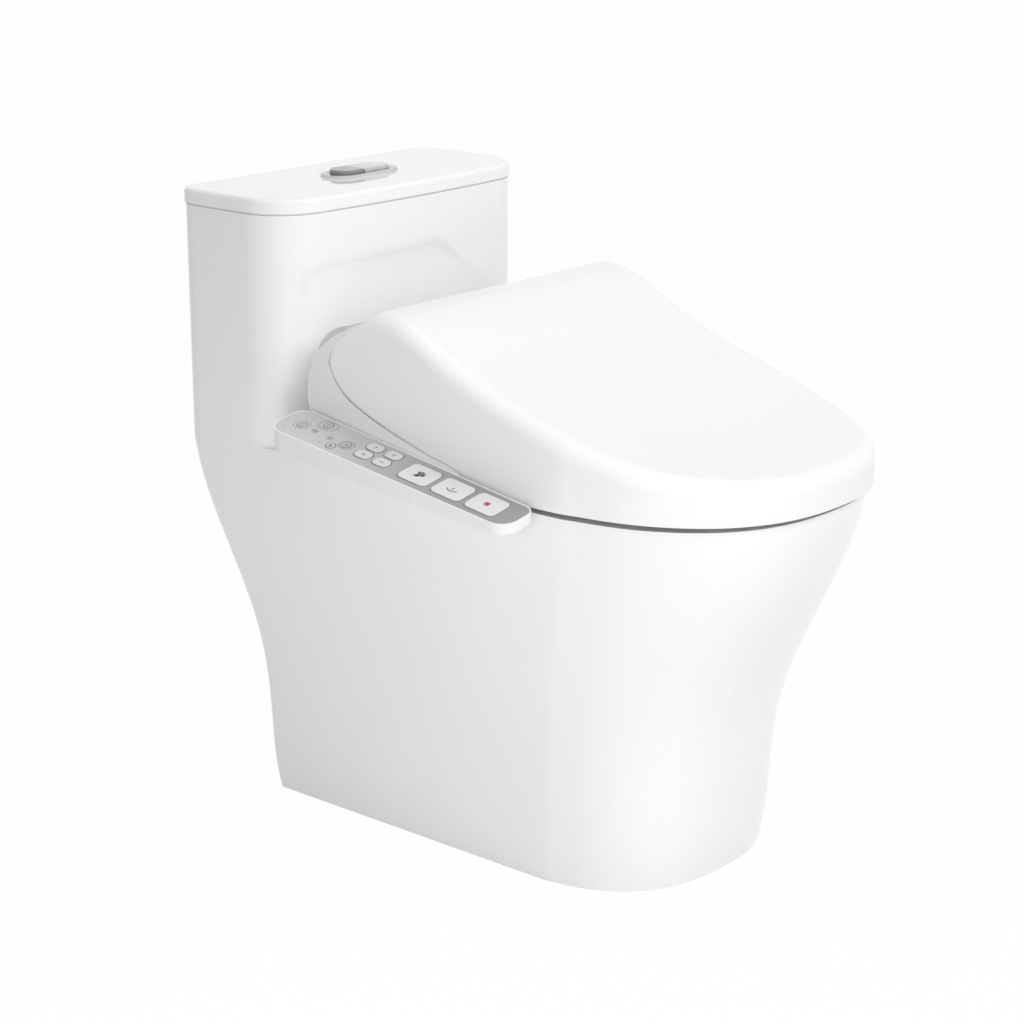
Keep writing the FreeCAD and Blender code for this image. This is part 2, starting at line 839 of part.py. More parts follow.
def tank_edges(inset, height):
    """The tank's outline: square back, large front corners tangent to a bowed front."""
    half = size("tank_half") - inset
    back = size("tank_back") - inset
    front = size("tank_front") + inset
    bow = size("tank_front_radius") - inset
    round_front = size("tank_front_corner") - inset
    round_rear = size("tank_rear_corner") - inset
    bow_centre = front + bow
    across = half - round_front
    corner_back = bow_centre - math.sqrt((bow - round_front) ** 2 - across**2)
    reach = bow / (bow - round_front)
    meet = Vector(across * reach, bow_centre + (corner_back - bow_centre) * reach, height)
    turn = math.atan2(meet.y - corner_back, meet.x - across) / 2
    front_mid = Vector(
        across + round_front * math.cos(turn), corner_back + round_front * math.sin(turn), height
    )
    side = Vector(half, corner_back, height)
    rear_side = Vector(half, back - round_rear, height)
    diagonal = round_rear * (1 - math.sqrt(0.5))
    rear_mid = Vector(half - diagonal, back - diagonal, height)
    rear_end = Vector(half - round_rear, back, height)
    left = [Vector(-p.x, p.y, p.z) for p in (meet, front_mid, side, rear_side, rear_mid, rear_end)]
    return [
        Part.Arc(left[0], Vector(0, front, height), meet).toShape(),
        Part.Arc(meet, front_mid, side).toShape(),
        Part.LineSegment(side, rear_side).toShape(),
        Part.Arc(rear_side, rear_mid, rear_end).toShape(),
        Part.LineSegment(rear_end, left[5]).toShape(),
        Part.Arc(left[5], left[4], left[3]).toShape(),
        Part.LineSegment(left[3], left[2]).toShape(),
        Part.Arc(left[2], left[1], left[0]).toShape(),
    ]


def tank_prism(inset, low, high):
    """The tank's outline raised between two heights."""
    return prism(tank_edges(inset, low), between(low, high))


BOWL_LEVELS = (0, 0.18, 0.38, 0.6, 0.8, 1)


def bowl_solid(outset, top):
    """The bowl's funnel: ellipses that widen from the sump to the rim as a quarter sine."""
    low = size("sump_height") - outset
    wires = []
    for level in BOWL_LEVELS:
        share = math.sin(level * math.pi / 2)
        wires.append(
            ellipse_wire(
                blend(size("sump_half_width"), size("bowl_half_width"), share) + outset,
                blend(size("sump_half_length"), size("bowl_half_length"), share) + outset,
                -blend(size("sump_centre"), size("bowl_centre"), share),
                blend(low, top, level),
            )
        )
    return Part.makeLoft(wires, True)


def trap_points(low):
    """The trapway's centre line, from the sump over the crest and down to the outlet."""
    entry = size("trap_entry_height")
    crest = size("trap_crest_height")
    return [
        Vector(0, -size("sump_centre"), entry),
        Vector(0, -size("trap_entry_knee"), entry),
        Vector(0, -size("trap_crest_knee"), crest),
        Vector(0, 0, crest),
        Vector(0, 0, low),
    ]


def cylinder_at(radius, x, y, low, high):
    """An upright cylinder between two heights."""
    return Part.makeCylinder(radius, high - low, Vector(x, y, low))


def china_casting():
    """Tank walls, deck, skirt, bowl, trapway and flush channel in one casting."""
    crease = size("crease_height")
    deck = size("deck_height")
    deck_under = size("deck_under")
    wall = size("china_wall")
    below = -wall
    rim_outline = skirt_edges(0, crease, 0)
    outer = skirt_solid(0)
    outer = outer.fuse(prism(rim_outline, between(crease, deck)))
    outer = outer.fuse(tank_prism(0, crease, size("tank_rim_height")))
    hollow = skirt_solid(wall)
    headroom = Part.makeBox(
        size("tank_width"), 2 * size("tank_width") + size("tank_depth"), deck_under - below
    )
    headroom.translate(Vector(-size("tank_half"), -size("rim_front"), below))
    hollow = hollow.common(headroom)
    hollow = hollow.fuse(prism(skirt_edges(1, below, wall), between(below, wall)))
    body = outer.cut(hollow)
    window = Part.makeBox(
        2 * size("service_window_half_width"),
        size("tank_depth"),
        size("service_window_height") - below,
    )
    window.translate(Vector(-size("service_window_half_width"), size("tank_front"), below))
    body = body.cut(window)
    channel_top = size("channel_ceiling")
    channel_low = channel_top - size("channel_height")
    channel_half = size("channel_half_width")
    channel_wall = size("channel_wall")
    channel_front = size("bowl_half_length - bowl_centre - channel_overlap")
    channel_outer = Part.makeBox(
        2 * (channel_half + channel_wall),
        size("channel_rear") - channel_front,
        deck_under - channel_low + channel_wall + 1,
    )
    channel_outer.translate(
        Vector(-channel_half - channel_wall, channel_front, channel_low - channel_wall)
    )
    channel = Part.makeBox(
        2 * channel_half,
        size("channel_rear") - channel_wall - channel_front,
        channel_top - channel_low,
    )
    channel.translate(Vector(-channel_half, channel_front, channel_low))
    trap_radius = size("trap_bore_radius")
    bend = size("trap_bend")
    trap_outer = pipe(trap_points(0), trap_radius + size("trap_wall"), bend)
    trap = pipe(trap_points(-wall), trap_radius, bend)
    body = body.fuse([bowl_solid(size("bowl_wall"), deck_under + 1), trap_outer, channel_outer])
    body = body.cut(bowl_solid(0, deck + 1))
    body = body.cut(channel)
    body = body.cut(trap)
    floor_top = size("tank_floor_top")
    body = body.cut(tank_prism(size("tank_wall"), floor_top, size("tank_rim_height") + wall))
    valve_hole = size("valve_throat_radius + valve_throat_wall + valve_hole_play")
    shank_hole = size("shank_radius + shank_hole_play")
    middle = size("tank_middle")
    drills = [
        cylinder_at(valve_hole, 0, middle, channel_top - 1, floor_top + 1),
        cylinder_at(shank_hole, -size("fill_valve_offset"), middle, deck_under - 1, floor_top + 1),
    ]
    for side in (-1, 1):
        drills.append(
            cylinder_at(
                size("deck_hole_radius"),
                side * size("screw_spacing") / 2,
                size("screw_line"),
                deck_under - 1,
                deck + 1,
            )
        )
    for drill in drills:
        body = body.cut(drill)
    body = body.removeSplitter()
    half_width = size("bowl_half_width") + SAME
    opening = [
        edge
        for edge in edges_at(body, deck)
        if edge.BoundBox.XMax < half_width and edge.BoundBox.XLength > half_width
    ]
    return body.makeFillet(size("bowl_edge_round"), opening)


def china():
    """The casting in five regions that meet face to face: tank, rim, skirt, bowl and waterways."""
    casting = china_casting()
    under = size("deck_under")
    wide = size("tank_width")
    far = size("rim_front + tank_back")
    top = size("tank_lid_top")
    above = box_between((-wide, wide), (-far, far), (under, top))
    tank_room = box_between((-wide, wide), (size("tank_front"), far), (under, top))
    upper = casting.common(above)
    keep("china_tank", shaped("china_tank", upper.common(tank_room)))
    keep("china_rim", shaped("china_rim", upper.cut(tank_room)))
    lower = sorted(casting.cut(above).Solids, key=lambda solid: solid.BoundBox.XLength)
    keep("china_skirt", shaped("china_skirt", lower[-1]))
    funnel = bowl_solid(size("bowl_wall"), under + 1)
    inner = lower[0]
    keep("china_bowl", shaped("china_bowl", inner.common(funnel)))
    keep("china_waterways", shaped("china_waterways", inner.cut(funnel)))


def floor_outlet_seal():
    """The ring between the outlet horn and the drain."""
    horn = "trap_bore_radius + trap_wall + slide_play"
    profile = [
        (horn, "0"),
        (f"{horn} + outlet_seal_width", "0"),
        (f"{horn} + outlet_seal_width", "outlet_seal_height / 2"),
        (f"{horn} + outlet_seal_width / 2", "outlet_seal_height"),
        (horn, "outlet_seal_height"),
    ]
    return keep("floor_outlet_seal", turned("outlet_seal", profile))


# ---------------------------------------------------------------- flush valve and fill valve


def ring(name, inner, outer, low, high, at):
    """A plain ring between two radii and two heights."""
    profile = [(inner, low), (outer, low), (outer, high), (inner, high)]
    return turned(name, profile, at)


VALVE_AXIS = ("0", "tank_middle", "0")
FILL_AXIS = ("-fill_valve_offset", "tank_middle", "0")


def flush_valve():
    """Base, windowed tower, and plunger with its seal; returns the gasket and the nut."""
    throat = "valve_throat_radius + valve_throat_wall"
    low = "tank_floor_top - valve_throat_depth"
    on_gasket = "tank_floor_top + gasket_thick"
    profile = [
        ("valve_throat_radius", low),
        (throat, low),
        (throat, on_gasket),
        ("valve_flange_radius", on_gasket),
        ("valve_flange_radius", "valve_seat"),
        ("valve_throat_radius", "valve_seat"),
    ]
    keep("flush_valve_base", turned("valve_base", profile, VALVE_AXIS))
    gasket_inner = f"{throat} + seat_gap"
    gasket = ring(
        "valve_gasket", gasket_inner, "valve_flange_radius", "tank_floor_top", on_gasket, VALVE_AXIS
    )
    nut_low = "channel_ceiling - valve_nut_thick"
    nut = prism_on("valve_nut", 8, "valve_nut_radius", VALVE_AXIS, nut_low, "valve_nut_thick")
    nut_hole = rod(
        "valve_nut_hole",
        f"{throat} + pin_play",
        ("0", "tank_middle", "channel_ceiling - 2 * valve_nut_thick"),
        "3 * valve_nut_thick",
    )
    inner = "tower_radius - tower_wall"
    shell = turned(
        "tower_shell",
        [
            (inner, "valve_seat"),
            ("tower_radius", "valve_seat"),
            ("tower_radius", "tower_top"),
            ("overflow_radius + slide_play", "tower_top"),
            ("overflow_radius + slide_play", "tower_top - tower_cap"),
            (inner, "tower_top - tower_cap"),
        ],
        VALVE_AXIS,
    )
    sill = "valve_seat + tower_window_sill"
    span = ("-tower_radius - tower_wall", "tower_radius + tower_wall")
    deep = ("tank_middle - tower_radius - tower_wall", "tank_middle + tower_radius + tower_wall")
    narrow = ("-tower_window_width / 2", "tower_window_width / 2")
    thin = ("tank_middle - tower_window_width / 2", "tank_middle + tower_window_width / 2")
    heights = (sill, f"{sill} + tower_window_height")
    across = block("tower_windows_across", span, thin, heights)
    along = block("tower_windows_along", narrow, deep, heights)
    keep("flush_valve_tower", cut("tower", shell, across, along))
    seal_low = "valve_seat + seat_gap"
    disc_low = f"{seal_low} + seal_thick"
    seal = ring("plunger_seal", "seal_inner_radius", "plunger_radius", seal_low, disc_low, VALVE_AXIS)
    keep("flush_valve_seal", seal)
    bore = "overflow_radius - overflow_wall"
    plunger = [
        (bore, disc_low),
        ("plunger_radius", disc_low),
        ("plunger_radius", f"{disc_low} + plunger_thick"),
        ("overflow_radius", f"{disc_low} + plunger_thick"),
        ("overflow_radius", "overflow_top"),
        (bore, "overflow_top"),
    ]
    keep("flush_valve_plunger", turned("plunger", plunger, VALVE_AXIS))
    return gasket, cut("flush_nut", nut, nut_hole)


def prism_on(name, sides, radius, axis, low, height):
    """A regular prism on a vertical axis."""
    item = doc.addObject("Part::Prism", name)
    item.Polygon = sides
    tie(item, "Circumradius", radius)
    tie(item, "Height", height)
    tie(item, "Placement.Base.x", axis[0])
    tie(item, "Placement.Base.y", axis[1])
    tie(item, "Placement.Base.z", low)
    return item


def fill_valve():
    """Valve body, the float on its riser and the refill hose; returns the washer and the nut."""
    low = "tank_floor_top - shank_depth"
    groove_low = f"{low} + shank_free"
    flange_low = "tank_floor_top + gasket_thick"
    flange_high = f"{flange_low} + fill_flange_thick"
    stop_high = "float_stop_height + float_stop_thick"
    head_low = "fill_top - fill_head_height"
    profile = [
        ("shank_bore", low),
        ("shank_radius", low),
        ("shank_radius", groove_low),
        ("shank_radius - shank_groove", groove_low),
        ("shank_radius - shank_groove", f"{groove_low} + shank_groove"),
        ("shank_radius", f"{groove_low} + shank_groove"),
        ("shank_radius", flange_low),
        ("fill_flange_radius", flange_low),
        ("fill_flange_radius", flange_high),
        ("riser_radius", flange_high),
        ("riser_radius", "float_stop_height"),
        ("float_stop_radius", "float_stop_height"),
        ("float_stop_radius", stop_high),
        ("riser_radius", stop_high),
        ("riser_radius", head_low),
        ("fill_head_radius", head_low),
        ("fill_head_radius", "fill_top"),
        ("0", "fill_top"),
        ("0", f"{head_low} + fill_head_height / 2"),
        ("shank_bore", f"{head_low} + fill_head_height / 2"),
    ]
    keep("fill_valve_body", turned("fill_body", profile, FILL_AXIS))
    around_shank = "shank_radius + pin_play"
    washer = ring(
        "fill_washer", around_shank, "fill_flange_radius", "tank_floor_top", flange_low, FILL_AXIS
    )
    nut_radius = "fill_nut_flats / 2 / cos(30)"
    nut_low = "deck_under - fill_nut_thick"
    nut = prism_on("fill_hex", 6, nut_radius, FILL_AXIS, nut_low, "fill_nut_thick")
    hole_start = ("-fill_valve_offset", "tank_middle", "deck_under - 2 * fill_nut_thick")
    nut_hole = rod("fill_nut_hole", around_shank, hole_start, "3 * fill_nut_thick")
    float_low = f"{stop_high} + seat_gap"
    float_ring = ring(
        "fill_float",
        "riser_radius + slide_play",
        "float_radius",
        float_low,
        f"{float_low} + float_height",
        FILL_AXIS,
    )
    keep("fill_valve_float", float_ring)
    top = size("fill_top")
    arch = top + size("fill_head_height")
    bend = size("hose_bend")
    start = Vector(-size("fill_valve_offset"), size("tank_middle"), top)
    landing = Vector(-size("hose_landing_side"), size("tank_middle + hose_landing_back"), top)
    points = [start, Vector(start.x, start.y, arch), Vector(landing.x, landing.y, arch), landing]
    hose = pipe(points, size("hose_radius"), bend).cut(pipe(points, size("hose_bore"), bend))
    keep("refill_hose", shaped("refill_hose", hose))
    return washer, cut("fill_nut", nut, nut_hole)


# ---------------------------------------------------------------- tank lid and flush buttons


def stadium_wire(half_span, radius, height):
    """A long round-ended outline along X, centred on the tank."""
    middle = size("tank_middle")
    reach = half_span + radius
    corners = [
        Vector(-reach, middle - radius, height),
        Vector(reach, middle - radius, height),
        Vector(reach, middle + radius, height),
        Vector(-reach, middle + radius, height),
    ]
    return Part.Wire(rounded_edges(corners, [radius] * 4))


def stadium_prism(half_span, radius, low, high):
    """The round-ended outline raised between two heights."""
    return Part.Face(stadium_wire(half_span, radius, low)).extrude(between(low, high))


def edges_at(shape, height):
    """Edges that lie wholly at one height."""
    return [
        edge
        for edge in shape.Edges
        if abs(edge.BoundBox.ZMin - height) < SAME and abs(edge.BoundBox.ZMax - height) < SAME
    ]


def tank_lid():
    """The china lid with its locating lip and the button hole, and the pads it rests on."""
    under = size("tank_lid_under")
    top = size("tank_lid_top")
    span = size("button_half_span")
    plate = tank_prism(-size("tank_lid_overhang"), under, top)
    plate = plate.makeFillet(size("tank_lid_round"), edges_at(plate, top))
    lip_inset = size("tank_wall + tank_lid_lip_play")
    lip_low = under - size("tank_lid_lip_depth")
    lip = tank_prism(lip_inset, lip_low, under + 1)
    lip = lip.cut(tank_prism(lip_inset + size("tank_lid_lip_wall"), lip_low - 1, under))
    hole = stadium_prism(span, size("collar_radius + collar_hole_play"), lip_low, top + 1)
    keep("tank_lid", shaped("tank_lid", plate.fuse(lip).cut(hole)))
    pads = [
        rod(
            f"lid_pad_{side}",
            "tank_lid_pad_radius",
            ("tank_half - tank_wall / 2", place, "tank_rim_height + seat_gap"),
            "tank_lid_gap - seat_gap",
        )
        for side, place in (
            ("front", "tank_middle - tank_lid_pad_radius"),
            ("rear", "tank_back - tank_rear_corner - tank_wall"),
        )
    ]
    group = doc.addObject("Part::Compound", "lid_pads")
    group.Links = pads
    mirrored_pair("tank_lid_pads", group)


def flush_buttons():
    """Bezel with its collar, the clamp under the lid, and two buttons with their rods."""
    span = size("button_half_span")
    radius = size("button_radius")
    lid_top = size("tank_lid_top")
    top = size("bezel_top")
    open_radius = size("button_radius + button_play")
    collar = size("collar_radius")
    dish_low = top - size("bezel_dish_depth")
    rim = Part.makeLoft(
        [
            stadium_wire(size("bezel_half_span"), size("bezel_radius"), lid_top),
            stadium_wire(size("bezel_half_span"), size("bezel_radius - bezel_dish_depth"), top),
        ],
        True,
    )
    dish = Part.makeLoft(
        [
            stadium_wire(span, size("button_radius + bezel_dish_depth"), dish_low),
            stadium_wire(span, size("bezel_radius - bezel_dish_rim"), top + SAME),
        ],
        True,
    )
    collar_low = lid_top - size("collar_depth")
    bezel = rim.fuse(stadium_prism(span, collar, collar_low, dish_low))
    bezel = bezel.cut(dish).cut(stadium_prism(span, open_radius, collar_low - 1, top + 1))
    keep("flush_button_bezel", shaped("flush_button_bezel", bezel))
    under = size("tank_lid_under")
    clamp_low = under - size("clamp_thick")
    clamp = stadium_prism(span, collar + size("clamp_width"), clamp_low, under)
    clamp = clamp.cut(stadium_prism(span, collar + size("pin_play"), clamp_low - 1, under + 1))
    keep("flush_button_clamp", shaped("flush_button_clamp", clamp))
    low = size("button_under")
    high = size("button_top")
    whole = stadium_prism(span, radius, low, high)
    split = -size("button_split")
    reach = span + radius
    middle = size("tank_middle")
    play = size("button_play")
    halves = (
        ("half_flush_button", -reach - play, split - play),
        ("full_flush_button", split + play, reach + play),
    )
    for label, start, end in halves:
        keeper = Part.makeBox(end - start, 2 * reach, high - low)
        keeper.translate(Vector(start, middle - reach, low))
        button = whole.common(keeper)
        button = button.makeFillet(size("button_edge"), edges_at(button, high))
        keep(label, shaped(label, button))
    rod_low = "tower_top + rod_idle_travel"
    rods = (
        ("half_flush_rod", "-button_split - half_rod_offset"),
        ("full_flush_rod", "full_rod_offset"),
    )
    for label, across in rods:
        push = rod(label, "rod_radius", (across, "tank_middle", rod_low), f"button_under - ({rod_low})")
        keep(label, push)


# ---------------------------------------------------------------- mounting plate and screws


def mounting():
    """The plate that the wash unit slides onto, with its two screws and wing nuts."""
    depth = ("-plate_front", "plate_rear")
    top = "deck_height + plate_thick"
    inner = "plate_half_width - plate_wing_width"
    core = block("plate_core", (f"-({inner})", inner), depth, ("deck_height", top))
    wings = block(
        "plate_wings",
        ("-plate_half_width", "plate_half_width"),
        depth,
        ("deck_height + plate_wing_height", top),
    )
    seat_height = f"{top} - screw_head_thick - screw_hole_play"
    tools = []
    for side, sign in (("left", "-"), ("right", "")):
        across = f"{sign}screw_spacing / 2"
        start = (across, "screw_line", seat_height)
        low_start = (across, "screw_line", "deck_height - plate_thick")
        tools.append(rod(f"plate_sink_{side}", "screw_head_radius + screw_hole_play", start, "plate_thick"))
        tools.append(
            rod(f"plate_hole_{side}", "screw_radius + screw_hole_play", low_start, "3 * plate_thick")
        )
    keep("mounting_plate", cut("plate", fuse("plate_blank", core, wings), *tools))
    at = ("screw_spacing / 2", "screw_line", "0")
    tip = f"{seat_height} - screw_length"
    screw = [
        ("0", tip),
        ("screw_radius", tip),
        ("screw_radius", seat_height),
        ("screw_head_radius", seat_height),
        ("screw_head_radius", f"{seat_height} + screw_head_thick"),
        ("0", f"{seat_height} + screw_head_thick"),
    ]
    mirrored_pair("mounting_bolts", turned("mounting_screw", screw, at))
    bore = "screw_radius + pin_play"
    nut_low = "deck_under - wing_nut_thick"
    nut = [
        (bore, nut_low),
        ("wing_nut_radius / 2", nut_low),
        ("wing_nut_radius", "deck_under - wing_nut_thick / 2"),
        ("wing_nut_radius", "deck_under"),
        (bore, "deck_under"),
    ]
    mirrored_pair("mounting_nuts", turned("mounting_nut", nut, at))


# ---------------------------------------------------------------- wash unit: base and cover


def unit_plan(inset, low, high):
    """The base tray's outline: square at the front, rounded rear corners."""
    half = size("unit_half_width") - inset
    back = size("unit_back") - inset
    front = -size("unit_front") + inset
    soft = size("unit_corner") - inset
    corners = [
        Vector(-half, front, low),
        Vector(half, front, low),
        Vector(half, back, low),
        Vector(-half, back, low),
    ]
    return prism(rounded_edges(corners, [0, 0, soft, soft]), between(low, high))


def box_between(x, y, z):
    """A box between a low and a high value along each axis."""
    box = Part.makeBox(x[1] - x[0], y[1] - y[0], z[1] - z[0])
    box.translate(Vector(x[0], y[0], z[0]))
    return box


def unit_base():
    """The tray with its slide rails, damper posts and the holes for nozzles, inlet and cord."""
    wall = size("base_wall")
    low = size("base_low")
    top = size("base_top")
    floor_low = size("floor_low")
    floor_high = size("floor_high")
    rail_inner = size("plate_half_width + seat_gap")
    rail_outer = rail_inner + size("rail_width")
    base = unit_plan(0, low, top)
    base = base.cut(unit_plan(wall, floor_high, top + 1))
    base = base.cut(unit_plan(wall, low - 1, floor_low))
    back = size("unit_back")
    slot = rail_outer + wall
    base = base.cut(box_between((-slot, slot), (back - 2 * wall, back + 1), (low - 1, floor_low)))
    window = size("nozzle_window")
    front = -size("unit_front")
    base = base.cut(
        box_between((-window, window), (front - 1, front + size("nozzle_window_depth")), (low - 1, top + 1))
    )
    rear = size("plate_rear")
    rail_low = size("base_low + seat_gap")
    lip_inner = size("plate_half_width - plate_wing_width + rail_lip_play")
    lip_top = rail_low + size("rail_lip_thick")
    hinge_back = size("hinge_back")
    hinge_height = size("hinge_height")
    post_start = size("damper_post_start")
    post_end = post_start + size("damper_post_width")
    post_half = size("damper_radius") + 2 * wall
    for side in (-1, 1):
        rail = sided(side, (rail_inner, rail_outer), (front + wall, rear), (rail_low, floor_low))
        lip = sided(side, (lip_inner, rail_inner), (front + wall, rear), (rail_low, lip_top))
        post = sided(
            side,
            (post_start, post_end),
            (hinge_back - post_half, hinge_back + post_half),
            (floor_high, hinge_height),
        )
        base = base.fuse([rail.fuse(lip), post])
    half = size("unit_half_width")
    saddle = Part.makeCylinder(
        size("damper_radius + pin_play"), 2 * half, Vector(-half, hinge_back, hinge_height), Vector(1, 0, 0)
    )
    base = base.cut(saddle)
    holes = (
        (size("inlet_radius - inlet_groove + slide_play"), size("inlet_back"), size("inlet_height")),
        (size("gland_neck + pin_play"), size("gland_back"), size("gland_height")),
    )
    for radius, y, z in holes:
        start = Vector(half - wall - SAME, y, z)
        base = base.cut(Part.makeCylinder(radius, 2 * wall, start, Vector(1, 0, 0)))
    keep("unit_base", shaped("unit_base", base.removeSplitter()))


def sided(side, x, y, z):
    """A box on one side of the middle plane, x measured outwards."""
    low, high = sorted((side * x[0], side * x[1]))
    return box_between((low, high), y, z)


def cover_section(inset, across, low):
    """The cover's side profile, moved inwards by an inset, as a face at one X."""
    front = -size("unit_front") + inset
    back = size("unit_back") - inset
    apex_back = size("cover_apex_back")
    corners = [
        Vector(across, front, low),
        Vector(across, front, size("cover_front_height") - inset),
        Vector(across, apex_back, size("cover_apex_height") - inset),
        Vector(across, back, size("cover_back_height") - inset),
        Vector(across, back, low),
    ]
    rounds = [
        0,
        size("cover_front_round") - inset,
        size("cover_apex_round") - inset,
        size("cover_back_round") - inset,
        0,
    ]
    return Part.Face(Part.Wire(rounded_edges(corners, rounds)))


def cover_solid(inset, low):
    """Narrow core between the hinges and full-width shoulders behind them."""
    core_half = size("core_half_width") - inset
    half = size("unit_half_width") - inset
    shoulder = size("shoulder_front") + inset
    top = size("cover_apex_height")
    core = cover_section(inset, -core_half, low).extrude(Vector(2 * core_half, 0, 0))
    wide = cover_section(inset, -half, low).extrude(Vector(2 * half, 0, 0))
    rear = box_between((-half, half), (shoulder, size("unit_back")), (low, top))
    wide = wide.common(rear).common(unit_plan(inset, low, top))
    return core, wide


def unit_cover():
    """The rounded cover behind the lid: a thin shell that stands on the tray's rim."""
    low = size("base_top")
    wall = size("cover_wall")
    core, wide = cover_solid(0, low)
    inner_core, inner_wide = cover_solid(wall, low - wall)
    cover = core.fuse(wide).cut(inner_core.fuse(inner_wide))
    hinge = Vector(-size("unit_half_width"), size("hinge_back"), size("hinge_height"))
    hole_radius = size("pin_radius + slide_play")
    cover = cover.cut(
        Part.makeCylinder(hole_radius, 2 * size("unit_half_width"), hinge, Vector(1, 0, 0))
    )
    keep("unit_cover", shaped("unit_cover", cover.removeSplitter()))


def hinge_parts():
    """Hinge pins on the hinge line, and the damper that brakes the seat and the one for the lid."""
    start = ("pin_start", "hinge_back", "hinge_height")
    pin = rod("hinge_pin", "pin_radius", start, "pin_end - pin_start", "x")
    mirrored_pair("hinge_pins", pin)
    dampers = [
        rod(name, "damper_radius", (across, "hinge_back", "hinge_height"), "damper_length", "x")
        for name, across in (("seat_damper", "pin_start - damper_length"), ("lid_damper", "-pin_start"))
    ]
    grouped("hinge_dampers", *dampers)


# ---------------------------------------------------------------- seat


def seat_plan(inset, low, high):
    """The seat's outer outline raised between two heights."""
    edges = plan_edges(
        size("seat_half_width") - inset,
        size("seat_half_width") - inset,
        -size("seat_back") - inset,
        size("seat_front") - inset,
        size("seat_nose") - inset,
        size("lid_power"),
        size("seat_back_corner") - inset,
        low,
    )
    return prism(edges, between(low, high))


def seat_hole(outset, low, high):
    """The opening in the seat raised between two heights."""
    wire = ellipse_wire(
        size("seat_hole_half_width") + outset,
        size("seat_hole_half_length") + outset,
        -size("seat_hole_centre"),
        low,
    )
    return Part.Face(wire).extrude(between(low, high))


def seat_notch(margin, low, high):
    """The room above the nozzles at the back of the seat."""
    half = size("seat_notch_half_width") + margin
    front = -size("seat_notch_front") - margin
    return box_between((-half, half), (front, 0), (low, high))


def seat_arm():
    """One hinge arm: a hub on the hinge line and a toe that runs into the seat."""
    start = size("seat_arm_inner")
    width = size("seat_arm_outer") - start
    hub = Vector(start, size("hinge_back"), size("hinge_height"))
    toe = Vector(start, -size("seat_arm_toe_front"), size("seat_arm_toe_height"))
    hub_radius = size("seat_arm_hub")
    toe_radius = size("seat_arm_toe")
    run = toe - hub
    lean = math.asin((hub_radius - toe_radius) / run.Length)
    heading = math.atan2(run.z, run.y)
    corners = []
    for centre, radius, turn in (
        (hub, hub_radius, 1),
        (toe, toe_radius, 1),
        (toe, toe_radius, -1),
        (hub, hub_radius, -1),
    ):
        angle = heading + turn * (math.pi / 2 - lean)
        corners.append(centre + Vector(0, radius * math.cos(angle), radius * math.sin(angle)))
    web = Part.Face(Part.makePolygon(corners + corners[:1])).extrude(Vector(width, 0, 0))
    along = Vector(1, 0, 0)
    ends = [
        Part.makeCylinder(hub_radius, width, hub, along),
        Part.makeCylinder(toe_radius, width, toe, along),
    ]
    arm = web.fuse(ends)
    bore = Part.makeCylinder(size("pin_radius + pin_play"), 3 * width, hub - along * width, along)
    return arm.cut(bore)


def mirror_x(shape):
    """The shape's mirror image across the middle plane."""
    return shape.mirror(Vector(), Vector(1, 0, 0))


def seat():
    """Upper shell with its hinge arms, lower shell, heating foil between them, and bumpers."""
    under = size("seat_underside")
    split = size("seat_split")
    top = size("seat_top")
    notch_top = under + size("seat_notch_height")
    upper = seat_plan(0, split, top)
    upper = upper.makeFillet(size("seat_outer_round"), edges_at(upper, top))
    hole = seat_hole(0, split - 1, top + 1)
    upper = upper.cut(hole)
    inner_edges = [
        edge for edge in edges_at(upper, top) if edge.BoundBox.XMax < size("seat_hole_half_width") + SAME
    ]
    upper = upper.makeFillet(size("seat_inner_round"), inner_edges)
    wall = size("seat_shell_wall")
    pocket_top = size("seat_pocket_top")
    pocket = seat_plan(wall, split - 1, pocket_top).cut(seat_hole(wall, split - 2, pocket_top + 1))
    pocket = pocket.cut(seat_notch(wall, split - 2, pocket_top + 1))
    arm = seat_arm()
    upper = upper.fuse([arm, mirror_x(arm)])
    upper = upper.cut(pocket).cut(seat_notch(0, split - 1, notch_top))
    keep("seat_upper_shell", shaped("seat_upper_shell", upper.removeSplitter()))
    lower = seat_plan(0, under, split)
    lower = lower.makeFillet(size("seat_under_round"), edges_at(lower, under))
    lower = lower.cut(seat_hole(0, under - 1, split + 1))
    lower = lower.cut(seat_notch(0, under - 1, split + 1))
    keep("seat_lower_shell", shaped("seat_lower_shell", lower))
    inset = wall + size("foil_inset")
    foil_low = pocket_top - size("foil_thick")
    foil = seat_plan(inset, foil_low, pocket_top).cut(seat_hole(inset, foil_low - 1, pocket_top + 1))
    foil = foil.cut(seat_notch(inset, foil_low - 1, pocket_top + 1))
    keep("seat_heater_foil", shaped("seat_heater_foil", foil))
    bumpers = [
        rod(
            f"seat_bumper_{side}",
            "seat_bumper_radius",
            (f"seat_bumper_{side}_side", f"-seat_bumper_{side}_front", "deck_height + seat_gap"),
            "seat_underside - deck_height - seat_gap",
        )
        for side in ("rear", "nose")
    ]
    group = doc.addObject("Part::Compound", "bumpers")
    group.Links = bumpers
    mirrored_pair("seat_bumpers", group)


# ---------------------------------------------------------------- lid


PROFILE_STEPS = "abcdefghij"


def profile_points(prefix, across):
    """The named points of a side profile at one X; heights are named as rises over the deck."""
    return [
        Vector(across, size(f"{prefix}_{step}_y"), size(f"deck_height + {prefix}_{step}_rise"))
        for step in PROFILE_STEPS
    ]


def smooth_line(points):
    """A smooth line through points."""
    curve = Part.BSplineCurve()
    curve.interpolate(points)
    return curve


